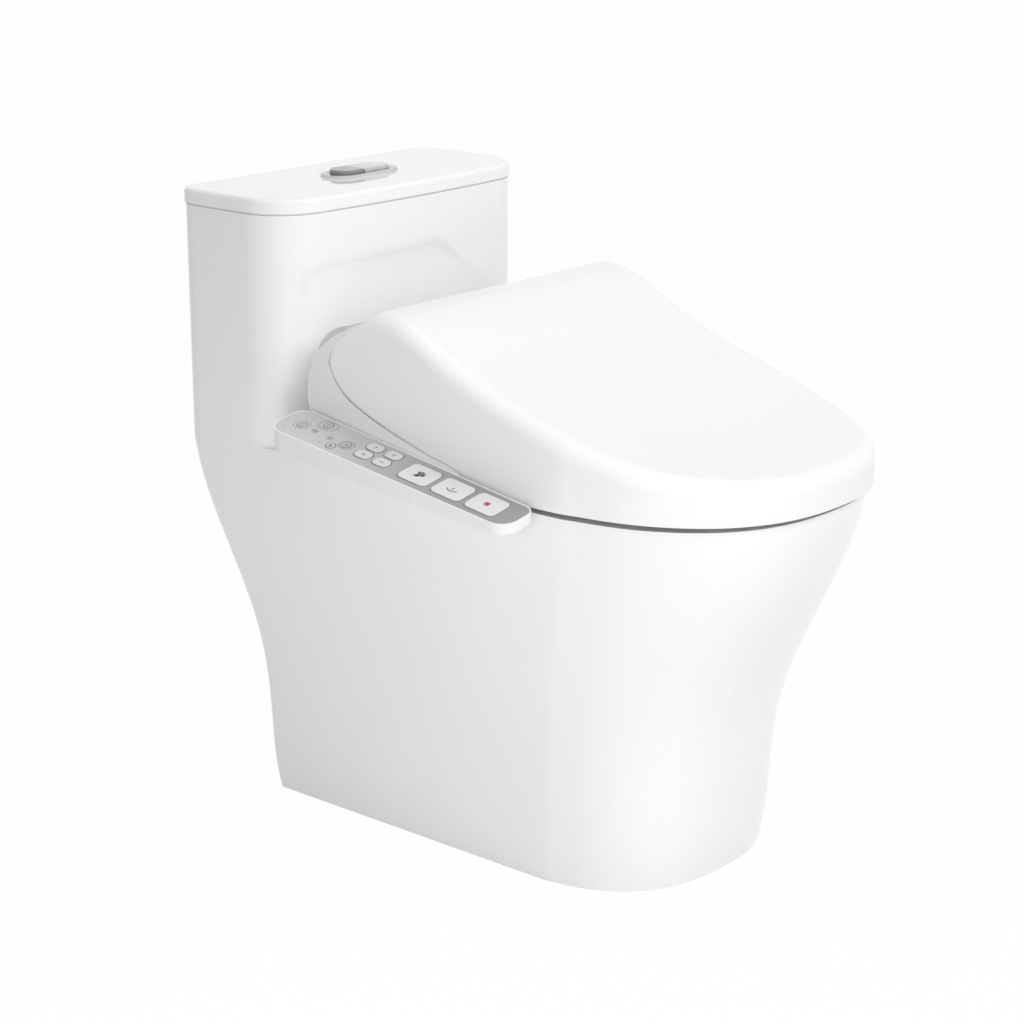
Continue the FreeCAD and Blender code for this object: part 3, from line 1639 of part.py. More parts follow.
def shifted(curve, shift, count):
    """A line moved sideways, towards the underside, by a distance."""
    first, last = curve.FirstParameter, curve.LastParameter
    moved = []
    for step in range(count + 1):
        at = first + (last - first) * step / count
        tangent = curve.tangent(at)[0]
        down = Vector(1, 0, 0).cross(tangent).normalize()
        if down.z > 0:
            down = -down
        moved.append(curve.value(at) + down * shift)
    return smooth_line(moved)


def lid_block(inset):
    """The lid's plan cut off by its ridge line, with its upper edges rounded."""
    half = size("lid_half_width")
    edge_round = size("lid_edge_round") - inset
    far_back = size("lid_top_a_y")
    floor_height = size("lid_underside - lid_edge_round")
    plan = plan_edges(
        half - inset,
        half - inset,
        far_back - inset,
        size("lid_front") - inset,
        size("lid_nose") - inset,
        size("lid_power"),
        2 * size("lid_edge_round") - inset,
        floor_height,
    )
    walls = prism(plan, between(floor_height, 2 * size("lid_underside")))
    ridge = smooth_line(profile_points("lid_top", -2 * half))
    if inset:
        ridge = shifted(ridge, inset, 2 * len(PROFILE_STEPS))
    back = ridge.value(ridge.FirstParameter)
    front = ridge.value(ridge.LastParameter)
    below_front = Vector(front.x, front.y, floor_height - 1)
    below_back = Vector(back.x, back.y, floor_height - 1)
    corners = [front, below_front, below_back, back]
    edges = [ridge.toShape()]
    edges += [Part.LineSegment(one, two).toShape() for one, two in zip(corners, corners[1:])]
    roof = Part.Face(Part.Wire(edges)).extrude(Vector(4 * half, 0, 0))
    block_shape = walls.common(roof)
    upper = [edge for edge in block_shape.Edges if edge.BoundBox.ZMin > floor_height + edge_round]
    return block_shape.makeFillet(edge_round, upper)


def cheek_cutter():
    """Everything below and behind the edge of the lid's cheeks."""
    half = size("lid_half_width")
    points = profile_points("cheek", -2 * half)
    high = 2 * size("lid_underside")
    back = 2 * size("lid_top_a_y")
    corners = [
        points[-1],
        Vector(points[-1].x, points[-1].y, high),
        Vector(points[-1].x, back, high),
        Vector(points[-1].x, back, 0),
        Vector(points[-1].x, points[0].y, 0),
        points[0],
    ]
    edges = [smooth_line(points).toShape()]
    edges += [Part.LineSegment(one, two).toShape() for one, two in zip(corners, corners[1:])]
    return Part.Face(Part.Wire(edges)).extrude(Vector(4 * half, 0, 0))


def lid():
    """The lid: a thin wedge-shaped shell whose cheeks reach back round the hinge line."""
    wall = size("lid_wall")
    half = size("lid_half_width")
    under = size("lid_underside")
    front = size("lid_front")
    hollow = lid_block(wall)
    shell = lid_block(0).cut(hollow)
    shell = shell.cut(box_between((-2 * half, 2 * half), (-2 * front, 2 * front), (0, under)))
    shell = shell.cut(cheek_cutter())
    start = size("seat_arm_outer + seat_gap")
    hinge = Vector(start, size("hinge_back"), size("hinge_height"))
    along = Vector(1, 0, 0)
    hub = Part.makeCylinder(size("lid_hub_radius"), half - wall / 2 - start, hinge, along)
    bore = Part.makeCylinder(size("pin_radius + pin_play"), half - wall - start, hinge, along)
    shell = shell.fuse([hub, mirror_x(hub)]).cut(bore.fuse(mirror_x(bore)))
    keep("lid_shell", shaped("lid_shell", shell.removeSplitter()))
    low = size("seat_top + seat_gap")
    tall = size("cover_apex_height") - low
    place = Vector(size("lid_bumper_half_span"), -size("lid_bumper_front"), low)
    bumper = Part.makeCylinder(size("lid_bumper_radius"), tall, place).common(hollow)
    pair = Part.makeCompound([bumper, mirror_x(bumper)])
    keep("lid_bumpers", shaped("lid_bumpers", pair))


# ---------------------------------------------------------------- wash nozzles and water parts


def nozzle_frame():
    """Placement of the nozzles: local Y runs back and up from the mouth."""
    mouth = Vector(0, -size("nozzle_mouth_front"), size("nozzle_mouth_height"))
    return Placement(mouth, Rotation(Vector(1, 0, 0), size("nozzle_tilt")))


def moved(shape, placement):
    """A copy of a shape carried by a placement."""
    copy = shape.copy()
    copy.Placement = placement.multiply(copy.Placement)
    return copy


def tilted(name, shape):
    """A shape of the nozzles' own frame, put in its place."""
    return keep(name, shaped(name, shape, nozzle_frame()))


def nozzles():
    """Two wash nozzles in their cradle, and the motors that drive them."""
    offset = size("nozzle_offset")
    radius = size("nozzle_radius")
    stand = size("nozzle_stand")
    half = size("cradle_half_width")
    deep = size("cradle_half_height")
    length = size("cradle_length")
    back = Vector(0, 1, 0)
    for label, side in (("rear_wash_nozzle", -1), ("front_wash_nozzle", 1)):
        wand = Part.makeCylinder(radius, size("nozzle_length"), Vector(side * offset, -stand, 0), back)
        face = edges_beyond(wand, -stand)
        wand = wand.makeFillet(size("nozzle_tip_round"), face)
        hole = Part.makeCylinder(
            size("nozzle_jet_radius"),
            radius,
            Vector(side * offset, -stand + size("nozzle_jet_back"), -2 * radius),
        )
        tilted(label, wand.cut(hole))
    cradle = box_between((-half, half), (0, length), (-deep, deep))
    cradle = moved(cradle, nozzle_frame())
    post_start = size("cradle_post_start")
    post = box_between(
        (-size("cradle_post_half_width"), size("cradle_post_half_width")),
        (post_start, post_start + size("cradle_post_depth")),
        (size("floor_high"), size("cradle_post_top")),
    )
    cradle = cradle.fuse(post)
    for side in (-1, 1):
        bore = Part.makeCylinder(
            radius + size("slide_play"), 2 * length, Vector(side * offset, -length / 2, 0), back
        )
        cradle = cradle.cut(moved(bore, nozzle_frame()))
    keep("nozzle_cradle", shaped("nozzle_cradle", cradle.removeSplitter()))
    motor = Part.makeCylinder(
        size("motor_radius"), size("motor_length"), Vector(half, size("motor_station"), 0), Vector(1, 0, 0)
    )
    tilted("nozzle_motors", Part.makeCompound([motor, mirror_x(motor)]))


def edges_beyond(shape, station):
    """Edges that lie wholly in the plane at one Y."""
    return [
        edge
        for edge in shape.Edges
        if abs(edge.BoundBox.YMin - station) < SAME and abs(edge.BoundBox.YMax - station) < SAME
    ]


def water_parts():
    """Heater, inlet block with its nipple, and the valve that shares water to the nozzles."""
    heater_end = "heater_start + heater_width"
    heater = padded(
        "heater",
        [
            ("heater_start", "-heater_front"),
            (heater_end, "-heater_front"),
            (heater_end, "heater_depth - heater_front"),
            ("heater_start", "heater_depth - heater_front"),
        ],
        "heater_height",
        ("0", "0", "floor_high"),
        corner_round="heater_corner",
    )
    keep("water_heater", heater)
    inner_face = "unit_half_width - base_wall"
    block_start = f"{inner_face} - inlet_block_length"
    body = block(
        "inlet_block",
        (block_start, inner_face),
        ("inlet_back - inlet_block_half_depth", "inlet_back + inlet_block_half_depth"),
        ("floor_high", "floor_high + inlet_block_height"),
    )
    axis = ("inlet_back", "inlet_height")
    neck_length = "base_wall + 2 * inlet_groove"
    neck = rod("inlet_neck", "inlet_radius - inlet_groove", (inner_face, *axis), neck_length, "x")
    nipple = rod(
        "inlet_nipple",
        "inlet_radius",
        ("unit_half_width + inlet_groove", *axis),
        "inlet_reach - inlet_groove",
        "x",
    )
    bore = rod(
        "inlet_bore_tool",
        "inlet_bore",
        (f"{block_start} + inlet_block_length / 2", *axis),
        "inlet_block_length / 2 + base_wall + 2 * inlet_reach",
        "x",
    )
    keep("inlet_valve_block", cut("inlet", fuse("inlet_blank", body, neck, nipple), bore))
    cylinder = rod(
        "diverter_cylinder",
        "diverter_radius",
        ("-diverter_half_length", "diverter_back", "floor_high + diverter_radius + diverter_foot"),
        "2 * diverter_half_length",
        "x",
    )
    foot = block(
        "diverter_base",
        ("-diverter_half_length + diverter_foot", "diverter_half_length - diverter_foot"),
        ("diverter_back - diverter_radius / 2", "diverter_back + diverter_radius / 2"),
        ("floor_high", "floor_high + diverter_radius"),
    )
    keep("diverter_valve", fuse("diverter", cylinder, foot))


def electric_parts():
    """The unit's control board on its posts, and the gland that holds the mains cord."""
    start = "-board_start - board_width"
    board_low = "floor_high + board_standoff"
    board_high = f"{board_low} + board_thick"
    board_back = "heater_depth - heater_front"
    along = ("-heater_front", board_back)
    plate = block("board_plate", (start, "-board_start"), along, (board_low, board_high))
    parts = [plate]
    for across_name, across in (
        ("outer", f"{start} + board_post_inset"),
        ("inner", "-board_start - board_post_inset"),
    ):
        for along_name, along in (
            ("front", "-heater_front + board_post_inset"),
            ("rear", f"{board_back} - board_post_inset"),
        ):
            parts.append(
                rod(
                    f"board_post_{across_name}_{along_name}",
                    "board_post_radius",
                    (across, along, "floor_high"),
                    f"{board_high} - floor_high",
                )
            )
    parts.append(
        block(
            "board_supply",
            (f"{start} + 2 * board_post_inset", "-board_start - 2 * board_post_inset"),
            ("-heater_front + 3 * board_post_inset", "board_post_inset"),
            (board_high, f"{board_high} + board_chip_height"),
        )
    )
    parts.append(
        block(
            "board_relays",
            (f"{start} + 2 * board_post_inset", "-board_start - 2 * board_post_inset"),
            ("3 * board_post_inset", f"{board_back} - 3 * board_post_inset"),
            (board_high, f"{board_high} + board_chip_height / 2"),
        )
    )
    keep("control_board", fuse("board", *parts))
    axis = ("gland_back", "gland_height")
    neck = rod(
        "gland_neck_bar",
        "gland_neck",
        ("unit_half_width - base_wall - gland_reach", *axis),
        "base_wall + 2 * gland_reach",
        "x",
    )
    head = rod("gland_head_bar", "gland_head", ("unit_half_width", *axis), "gland_reach", "x")
    hole = rod(
        "gland_hole",
        "gland_bore",
        ("unit_half_width - base_wall - 2 * gland_reach", *axis),
        "base_wall + 4 * gland_reach",
        "x",
    )
    keep("power_cord_gland", cut("gland", fuse("gland_blank", neck, head), hole))


# ---------------------------------------------------------------- control arm


def arm_frame():
    """Placement of the control arm: local Y runs back along it, local Z is square to its face."""
    origin = Vector(-size("arm_centre"), -size("arm_middle_front"), size("arm_height"))
    pitch = Rotation(Vector(1, 0, 0), size("arm_pitch"))
    roll = Rotation(Vector(0, 1, 0), -size("arm_roll"))
    return Placement(origin, pitch * roll)


def on_arm(label, shape):
    """A shape of the arm's own frame, put in its place."""
    return keep(label, shaped(label, shape, arm_frame()))


def arm_plan(inset, low, high):
    """The arm's outline in its own frame: a long shape that narrows to the front."""
    reach = size("arm_half_length") - inset
    rear = size("arm_half_width_rear") - inset
    front = size("arm_half_width_front") - inset
    corners = [
        Vector(-front, -reach, low),
        Vector(front, -reach, low),
        Vector(rear, reach, low),
        Vector(-rear, reach, low),
    ]
    rounds = [
        size("arm_front_outer_round") - inset,
        size("arm_front_inner_round") - inset,
        size("arm_rear_round") - inset,
        size("arm_rear_round") - inset,
    ]
    return prism(rounded_edges(corners, rounds), between(low, high))


def arm_wedge(inset):
    """The arm's solid: deeper at the rear than at the front, its lower edges rounded."""
    reach = size("arm_half_length")
    deep_rear = size("arm_depth_rear")
    deep_front = size("arm_depth_front")
    wide = 2 * size("arm_half_width_rear")
    corners = [
        Vector(-wide, reach, 0),
        Vector(-wide, -reach, 0),
        Vector(-wide, -reach, -deep_front + inset),
        Vector(-wide, reach, -deep_rear + inset),
    ]
    side = Part.Face(Part.makePolygon(corners + corners[:1])).extrude(Vector(2 * wide, 0, 0))
    wedge = arm_plan(inset, -deep_rear, 0).common(side)
    bottom = [edge for edge in wedge.Edges if edge.BoundBox.ZMax < -deep_front + inset + SAME]
    return wedge.makeFillet(size("arm_bevel") - inset / 2, bottom)


def key_outline(x, y, width, length, corner, low, high):
    """A key-shaped prism centred on a point of the arm's face."""
    corners = [
        Vector(x - width / 2, y - length / 2, low),
        Vector(x + width / 2, y - length / 2, low),
        Vector(x + width / 2, y + length / 2, low),
        Vector(x - width / 2, y + length / 2, low),
    ]
    return prism(rounded_edges(corners, [corner] * 4), between(low, high))


def large_keys():
    """Name and place of the three large keys, rear one first."""
    first = -size("large_key_first")
    pitch = size("large_key_pitch")
    names = ("rear_wash_key", "front_wash_key", "stop_key")
    return [(name, 0, first - pitch * index) for index, name in enumerate(names)]


def small_keys():
    """Name and place of the four small keys in the dark surround."""
    middle = size("small_key_middle")
    gauge = size("small_key_half_gauge")
    front = size("small_key_front")
    back = front + size("small_key_pitch")
    return [
        ("pressure_down_key", middle - gauge, front),
        ("position_down_key", middle + gauge, front),
        ("pressure_up_key", middle - gauge, back),
        ("position_up_key", middle + gauge, back),
    ]


def round_keys():
    """Name and place of the four small round keys at the rear."""
    names = ("power_key", "light_key", "water_heat_key", "seat_heat_key")
    return [
        (name, -size(f"round_key_{step}_out"), size(f"round_key_{step}_back"))
        for step, name in zip("abcd", names)
    ]


def lens_places():
    """Places of the indicator lenses beside the round keys."""
    return [(-size(f"lens_{step}_out"), size(f"lens_{step}_back")) for step in "abcde"]


def press_key(label, cap, x, y):
    """A key with the stem that reaches down to its switch on the board."""
    board_top = -size("arm_board_drop")
    switch_gap = size("key_travel + slide_play")
    stem_low = board_top + switch_gap
    stem = cylinder_at(size("key_stem_radius"), x, y, stem_low, -size("key_depth") / 2)
    on_arm(label, cap.fuse(stem))


def control_arm():
    """Arm shell, recessed fascia, indicator lenses, circuit board and eleven sprung keys."""
    wall = size("arm_wall")
    thick = size("fascia_thick")
    depth = size("key_depth")
    play = size("key_play")
    board_top = -size("arm_board_drop")
    board_low = board_top - size("board_thick")
    shell = arm_wedge(0)
    bridge = box_between(
        (-size("arm_centre"), -size("unit_half_width")),
        (size("bridge_front"), size("bridge_back")),
        (size("bridge_low"), size("bridge_high")),
    )
    shell = shell.fuse(moved(bridge, arm_frame().inverse()))
    hollow = arm_wedge(wall)
    shell = shell.cut(hollow)
    shell = shell.cut(arm_plan(size("fascia_inset"), -thick, 1))
    boss_radius = size("arm_boss_radius")
    boss_low = -size("arm_depth_rear")
    bosses = [
        cylinder_at(boss_radius, 0, side * size("arm_boss_reach"), boss_low, board_low)
        for side in (-1, 0, 1)
    ]
    bosses = bosses[0].fuse(bosses[1:]).common(hollow)
    on_arm("side_arm_body", shell.fuse(bosses).removeSplitter())
    fascia = arm_plan(size("fascia_inset"), -thick, 0)
    board = arm_plan(wall + size("arm_board_inset"), board_low, board_top)
    on_arm("panel_circuit_board", board)
    for name, x, y in large_keys():
        wide, long, corner = size("large_key_width"), size("large_key_length"), size("large_key_round")
        hole = key_outline(x, y, wide + 2 * play, long + 2 * play, corner + play, -2 * thick, 1)
        fascia = fascia.cut(hole)
        cap = key_outline(x, y, wide, long, corner, -depth, size("large_key_stand"))
        cap = cap.makeFillet(size("key_edge"), edges_at(cap, size("large_key_stand")))
        press_key(name, cap, x, y)
    for name, x, y in small_keys():
        wide, long, corner = size("small_key_width"), size("small_key_length"), size("small_key_round")
        hole = key_outline(x, y, wide + 2 * play, long + 2 * play, corner + play, -2 * thick, 1)
        fascia = fascia.cut(hole)
        cap = key_outline(x, y, wide, long, corner, -depth, size("small_key_stand"))
        press_key(name, cap, x, y)
    for name, x, y in round_keys():
        radius = size("round_key_radius")
        fascia = fascia.cut(cylinder_at(radius + play, x, y, -2 * thick, 1))
        press_key(name, cylinder_at(radius, x, y, -depth, size("round_key_stand")), x, y)
    lenses = []
    for x, y in lens_places():
        radius = size("lens_radius")
        fascia = fascia.cut(cylinder_at(radius, x, y, -2 * thick, 1))
        lenses.append(cylinder_at(radius, x, y, -thick, 0))
    on_arm("indicator_lenses", Part.makeCompound(lenses))
    on_arm("panel_fascia", fascia)


fill_sheet()
china()
floor_outlet_seal()
flush_gasket, flush_nut = flush_valve()
fill_washer, fill_nut = fill_valve()
grouped("tank_seals", flush_gasket, fill_washer)
grouped("tank_nuts", flush_nut, fill_nut)
tank_lid()
flush_buttons()
mounting()
unit_base()
unit_cover()
hinge_parts()
seat()
lid()
nozzles()
water_parts()
electric_parts()
control_arm()


def finish():
    """Recompute, refuse anything that failed, and write one file for each node."""
    doc.recompute()
    for item in doc.Objects:
        if "Invalid" in item.State or "Error" in item.State:
            raise RuntimeError(f"{item.Name} failed to compute")
    if len(nodes) > NODE_LIMIT:
        raise RuntimeError(f"{len(nodes)} nodes are too many")
    for label, item in nodes.items():
        if item.Shape.isNull() or not item.Shape.isValid():
            raise RuntimeError(f"{label} has no valid shape")
    os.makedirs("parts", exist_ok=True)
    for label, item in nodes.items():
        item.Shape.exportStep(os.path.join("parts", label + ".step"))


finish()
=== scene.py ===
"""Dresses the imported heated-seat toilet: finishes, key signs, fairing, lid strip and studio."""

from __future__ import annotations

import json
import logging
import math
from dataclasses import dataclass
from enum import Enum
from typing import Iterable

import bmesh
import bpy
import numpy as np
from mathutils import Matrix, Vector

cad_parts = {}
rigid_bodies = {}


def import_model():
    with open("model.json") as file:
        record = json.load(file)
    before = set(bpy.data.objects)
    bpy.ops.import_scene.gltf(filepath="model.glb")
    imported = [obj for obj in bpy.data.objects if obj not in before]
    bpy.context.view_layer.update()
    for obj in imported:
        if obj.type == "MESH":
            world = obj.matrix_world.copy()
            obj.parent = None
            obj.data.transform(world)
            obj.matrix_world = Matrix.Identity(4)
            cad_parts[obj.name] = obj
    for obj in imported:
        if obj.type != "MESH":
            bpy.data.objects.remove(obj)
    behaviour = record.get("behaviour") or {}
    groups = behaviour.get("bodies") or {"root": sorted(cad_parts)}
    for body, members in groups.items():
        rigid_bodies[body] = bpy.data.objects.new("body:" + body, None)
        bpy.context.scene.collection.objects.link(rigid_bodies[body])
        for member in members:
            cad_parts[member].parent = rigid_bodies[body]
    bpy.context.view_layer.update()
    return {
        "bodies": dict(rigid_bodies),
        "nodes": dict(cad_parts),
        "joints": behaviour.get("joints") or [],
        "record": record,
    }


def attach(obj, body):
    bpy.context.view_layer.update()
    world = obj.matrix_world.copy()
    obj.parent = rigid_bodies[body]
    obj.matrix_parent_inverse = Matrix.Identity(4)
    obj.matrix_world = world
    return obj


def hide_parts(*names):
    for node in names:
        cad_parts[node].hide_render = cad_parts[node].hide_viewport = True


LOG = logging.getLogger("heated_seat_toilet")
MM = 0.001
FINISH_MARK = "_finish"

# Points of a CAD node that round to the same step of this grid, in metres, are one.
WELD_GRID = 2e-6
# Edges that bend less than these angles, in degrees, are shaded smooth.
PRINT_ANGLE = 35.0
PART_ANGLE = 32.0
TRIM_ANGLE = 50.0
# How strongly large faces lead the shading of a CAD node's copy, out of 100.
LARGE_FACE_LEAD = 80
COLOUR_SOCKET, NUMBER_SOCKET = "NodeSocketColor", "NodeSocketFloat"
SOCKET_OF_LENGTH = {1: NUMBER_SOCKET, 3: "NodeSocketVector", 4: COLOUR_SOCKET}
# The sockets of a Mix node by number, for colours and for plain numbers.
COLOUR_A, COLOUR_B, COLOUR_OUT = 6, 7, 2
NUMBER_A, NUMBER_B, NUMBER_OUT = 2, 3, 0
# The part of the noise's range over which the clouds of a mottled surface come and go.
CLOUD_EDGES = (0.3, 0.7)
# The step between the stations of a closed stroke, in degrees.
RING_STEP = 7.5

Colour = tuple[float, float, float]
Point = tuple[float, float]
Place = tuple[float, float, float]


# ---------------------------------------- node helpers


class NodeNet:
    """A thin wrapper that adds and links the nodes of one tree."""

    def __init__(self, tree: bpy.types.NodeTree) -> None:
        """Keep the tree that the nodes go into.

        Args:
            tree: The node tree to fill.
        """
        self.tree = tree

    def add(self, kind: str, **values: object) -> bpy.types.Node:
        """Add a node and set its attributes and unlinked inputs.

        Args:
            kind: The node's class name, such as ShaderNodeBsdfPrincipled.
            **values: Attribute values, or input values under the input's name with _ for spaces.

        Returns:
            The new node.
        """
        node = self.tree.nodes.new(kind)
        for key, value in values.items():
            if hasattr(node, key):
                setattr(node, key, value)
            else:
                node.inputs[key.replace("_", " ")].default_value = value
        return node

    def link(self, source: bpy.types.NodeSocket, target: bpy.types.NodeSocket) -> None:
        """Join an output to an input."""
        self.tree.links.new(source, target)


class EffectGroup(Enum):
    """Shader node groups that several finishes share."""

    MOTTLE = "mottled_surface"
    BRUSH = "brushed_lines"


def new_group(
    effect: EffectGroup, inputs: dict[str, float | tuple], outputs: dict[str, str]
) -> tuple[NodeNet, bpy.types.Node, bpy.types.Node]:
    """Make a node group with named sockets.

    Args:
        effect: The effect that names the group.
        inputs: Each input's default: a number, a vector of three or a colour of four.
        outputs: Each output's socket type.

    Returns:
        The tree's wrapper, and the group's input and output nodes.
    """
    tree = bpy.data.node_groups.new(effect.value, "ShaderNodeTree")
    for name, value in inputs.items():
        length = len(value) if isinstance(value, tuple) else 1
        made = tree.interface.new_socket(
            name=name, in_out="INPUT", socket_type=SOCKET_OF_LENGTH[length]
        )
        made.default_value = value
    for name, kind in outputs.items():
        tree.interface.new_socket(name=name, in_out="OUTPUT", socket_type=kind)
    net = NodeNet(tree)
    return net, net.add("NodeGroupInput"), net.add("NodeGroupOutput")


def link_roughness(
    net: NodeNet, start: bpy.types.Node, value: bpy.types.NodeSocket, end: bpy.types.Node
) -> None:
    """Lead a value of 0 to 1 to a group's roughness, between its smooth and rough inputs.

    Args:
        net: The group's tree.
        start: The group's input node.
        value: The value's socket.
        end: The group's output node.
    """
    gloss = net.add("ShaderNodeMapRange")
    net.link(value, gloss.inputs["Value"])
    net.link(start.outputs["Smooth"], gloss.inputs["To Min"])
    net.link(start.outputs["Rough"], gloss.inputs["To Max"])
    net.link(gloss.outputs["Result"], end.inputs["Roughness"])


def mottle_group() -> bpy.types.NodeTree:
    """A cloud of slow noise that varies colour and roughness, with a fine grain as height.

    Returns:
        The group's tree, made on the first call and found again later.
    """
    name = EffectGroup.MOTTLE.value
    if name in bpy.data.node_groups:
        return bpy.data.node_groups[name]
    net, start, end = new_group(
        EffectGroup.MOTTLE,
        {
            "Colour": (0.8, 0.8, 0.8, 1.0),
            "Shade": (0.7, 0.7, 0.7, 1.0),
            "Cloud Scale": 5.0,
            "Grain Scale": 400.0,
            "Grain Share": 0.5,
            "Smooth": 0.1,
            "Rough": 0.2,
        },
        {"Colour": COLOUR_SOCKET, "Roughness": NUMBER_SOCKET, "Height": NUMBER_SOCKET},
    )
    place = net.add("ShaderNodeTexCoord")
    cloud = net.add("ShaderNodeTexNoise", Detail=3.0, Roughness=0.45)
    grain = net.add("ShaderNodeTexNoise", Detail=2.0, Roughness=0.5)
    net.link(place.outputs["Object"], cloud.inputs["Vector"])
    net.link(place.outputs["Object"], grain.inputs["Vector"])
    net.link(start.outputs["Cloud Scale"], cloud.inputs["Scale"])
    net.link(start.outputs["Grain Scale"], grain.inputs["Scale"])
    low, high = CLOUD_EDGES
    spread = net.add(
        "ShaderNodeMapRange", interpolation_type="SMOOTHSTEP", From_Min=low, From_Max=high
    )
    net.link(cloud.outputs["Fac"], spread.inputs["Value"])
    tint = net.add("ShaderNodeMix", data_type="RGBA")
    net.link(spread.outputs["Result"], tint.inputs["Factor"])
    net.link(start.outputs["Colour"], tint.inputs[COLOUR_A])
    net.link(start.outputs["Shade"], tint.inputs[COLOUR_B])
    net.link(tint.outputs[COLOUR_OUT], end.inputs["Colour"])
    link_roughness(net, start, spread.outputs["Result"], end)
    blend = net.add("ShaderNodeMix", data_type="FLOAT")
    net.link(start.outputs["Grain Share"], blend.inputs["Factor"])
    net.link(cloud.outputs["Fac"], blend.inputs[NUMBER_A])
    net.link(grain.outputs["Fac"], blend.inputs[NUMBER_B])
    net.link(blend.outputs[NUMBER_OUT], end.inputs["Height"])
    return net.tree


def brush_group() -> bpy.types.NodeTree:
    """Fine parallel lines along X: noise that is stretched along the brushing.

    Returns:
        The group's tree, made on the first call and found again later.
    """
    name = EffectGroup.BRUSH.value
    if name in bpy.data.node_groups:
        return bpy.data.node_groups[name]
    net, start, end = new_group(
        EffectGroup.BRUSH,
        {"Stretch": (1.0, 1.0, 1.0), "Smooth": 0.1, "Rough": 0.3},
        {"Roughness": NUMBER_SOCKET, "Height": NUMBER_SOCKET},
    )
    place = net.add("ShaderNodeTexCoord")
    stretch = net.add("ShaderNodeVectorMath", operation="MULTIPLY")
    net.link(place.outputs["Object"], stretch.inputs[0])
    net.link(start.outputs["Stretch"], stretch.inputs[1])
    lines = net.add("ShaderNodeTexNoise", Scale=1.0, Detail=4.0, Roughness=0.6)
    net.link(stretch.outputs["Vector"], lines.inputs["Vector"])
    link_roughness(net, start, lines.outputs["Fac"], end)
    net.link(lines.outputs["Fac"], end.inputs["Height"])
    return net.tree


# ---------------------------------------- finishes


def blank_material(name: str) -> tuple[bpy.types.Material, NodeNet, bpy.types.Node]:
    """Start a material that has only its Principled shader.

    Args:
        name: The material's name.

    Returns:
        The material, its tree's wrapper and its shader.
    """
    made = bpy.data.materials.new(name)
    made.use_nodes = True
    return made, NodeNet(made.node_tree), made.node_tree.nodes["Principled BSDF"]


def join_surface(
    net: NodeNet, group: bpy.types.Node, shader: bpy.types.Node, height: float
) -> None:
    """Join an effect's roughness and, through a Bump node, its height to a shader.

    Args:
        net: The material's tree.
        group: The effect's node.
        shader: The material's shader.
        height: The height of the bumps in metres.
    """
    net.link(group.outputs["Roughness"], shader.inputs["Roughness"])
    bump = net.add("ShaderNodeBump", Strength=1.0, Distance=height)
    net.link(group.outputs["Height"], bump.inputs["Height"])
    net.link(bump.outputs["Normal"], shader.inputs["Normal"])


@dataclass(frozen=True)
class Finish:
    """A moulded, glazed or cast surface with slow colour variation and a fine grain.

    Attributes:
        name: The material's name.
        colour: The main colour.
        shade: The colour at the darkest clouds of the variation.
        smooth: The lowest roughness.
        rough: The highest roughness.
        cloud: Clouds to the metre.
        grain: Grains to the metre.
        bump: The height of the bumps in metres.
        grain_share: The grain's share of the height, from 0, clouds alone, to 1, grain alone.
        coat: The weight of a clear coat.
        coat_rough: The roughness of that coat.
        metal: The metallic share.
        front: The darker colour that the main colour turns into towards the front, if any: painted
            shade.
        front_range: The two places along Y where that turn begins and ends, in metres.
    """

    name: str
    colour: Colour
    shade: Colour
    smooth: float = 0.2
    rough: float = 0.3
    cloud: float = 6.0
    grain: float = 900.0
    bump: float = 4e-5
    grain_share: float = 1.0
    coat: float = 0.0
    coat_rough: float = 0.05
    metal: float = 0.0
    front: Colour | None = None
    front_range: tuple[float, float] = (0.0, 1.0)

    def material(self) -> bpy.types.Material:
        """Build the material on the first call and find it again later."""
        name = self.name + FINISH_MARK
        if name in bpy.data.materials:
            return bpy.data.materials[name]
        made, net, shader = blank_material(name)
        group = net.add(
            "ShaderNodeGroup",
            node_tree=mottle_group(),
            Colour=(*self.colour, 1),
            Shade=(*self.shade, 1),
            Cloud_Scale=self.cloud,
            Grain_Scale=self.grain,
            Grain_Share=self.grain_share,
            Smooth=self.smooth,
            Rough=self.rough,
        )
        base = group.outputs["Colour"]
        # Painted shade: the colour darkens towards the front.
        if self.front:
            base = self.shaded_to_front(net, base)
        net.link(base, shader.inputs["Base Color"])
        join_surface(net, group, shader, self.bump)
        shader.inputs["Metallic"].default_value = self.metal
        shader.inputs["Coat Weight"].default_value = self.coat
        shader.inputs["Coat Roughness"].default_value = self.coat_rough
        return made

    def shaded_to_front(self, net: NodeNet, base: bpy.types.NodeSocket) -> bpy.types.NodeSocket:
        """Blend a colour into the darker front one, smoothly along Y, as painted shade.

        Args:
            net: The material's tree.
            base: The colour at the rear.

        Returns:
            The blended colour.
        """
        place = net.add("ShaderNodeTexCoord")
        parts = net.add("ShaderNodeSeparateXYZ")
        net.link(place.outputs["Object"], parts.inputs["Vector"])
        rear, front = self.front_range
        share = net.add(
            "ShaderNodeMapRange", interpolation_type="SMOOTHSTEP", From_Min=rear, From_Max=front
        )
        net.link(parts.outputs["Y"], share.inputs["Value"])
        blend = net.add("ShaderNodeMix", data_type="RGBA")
        blend.inputs[COLOUR_B].default_value = (*self.front, 1)
        net.link(share.outputs["Result"], blend.inputs["Factor"])
        net.link(base, blend.inputs[COLOUR_A])
        return blend.outputs[COLOUR_OUT]


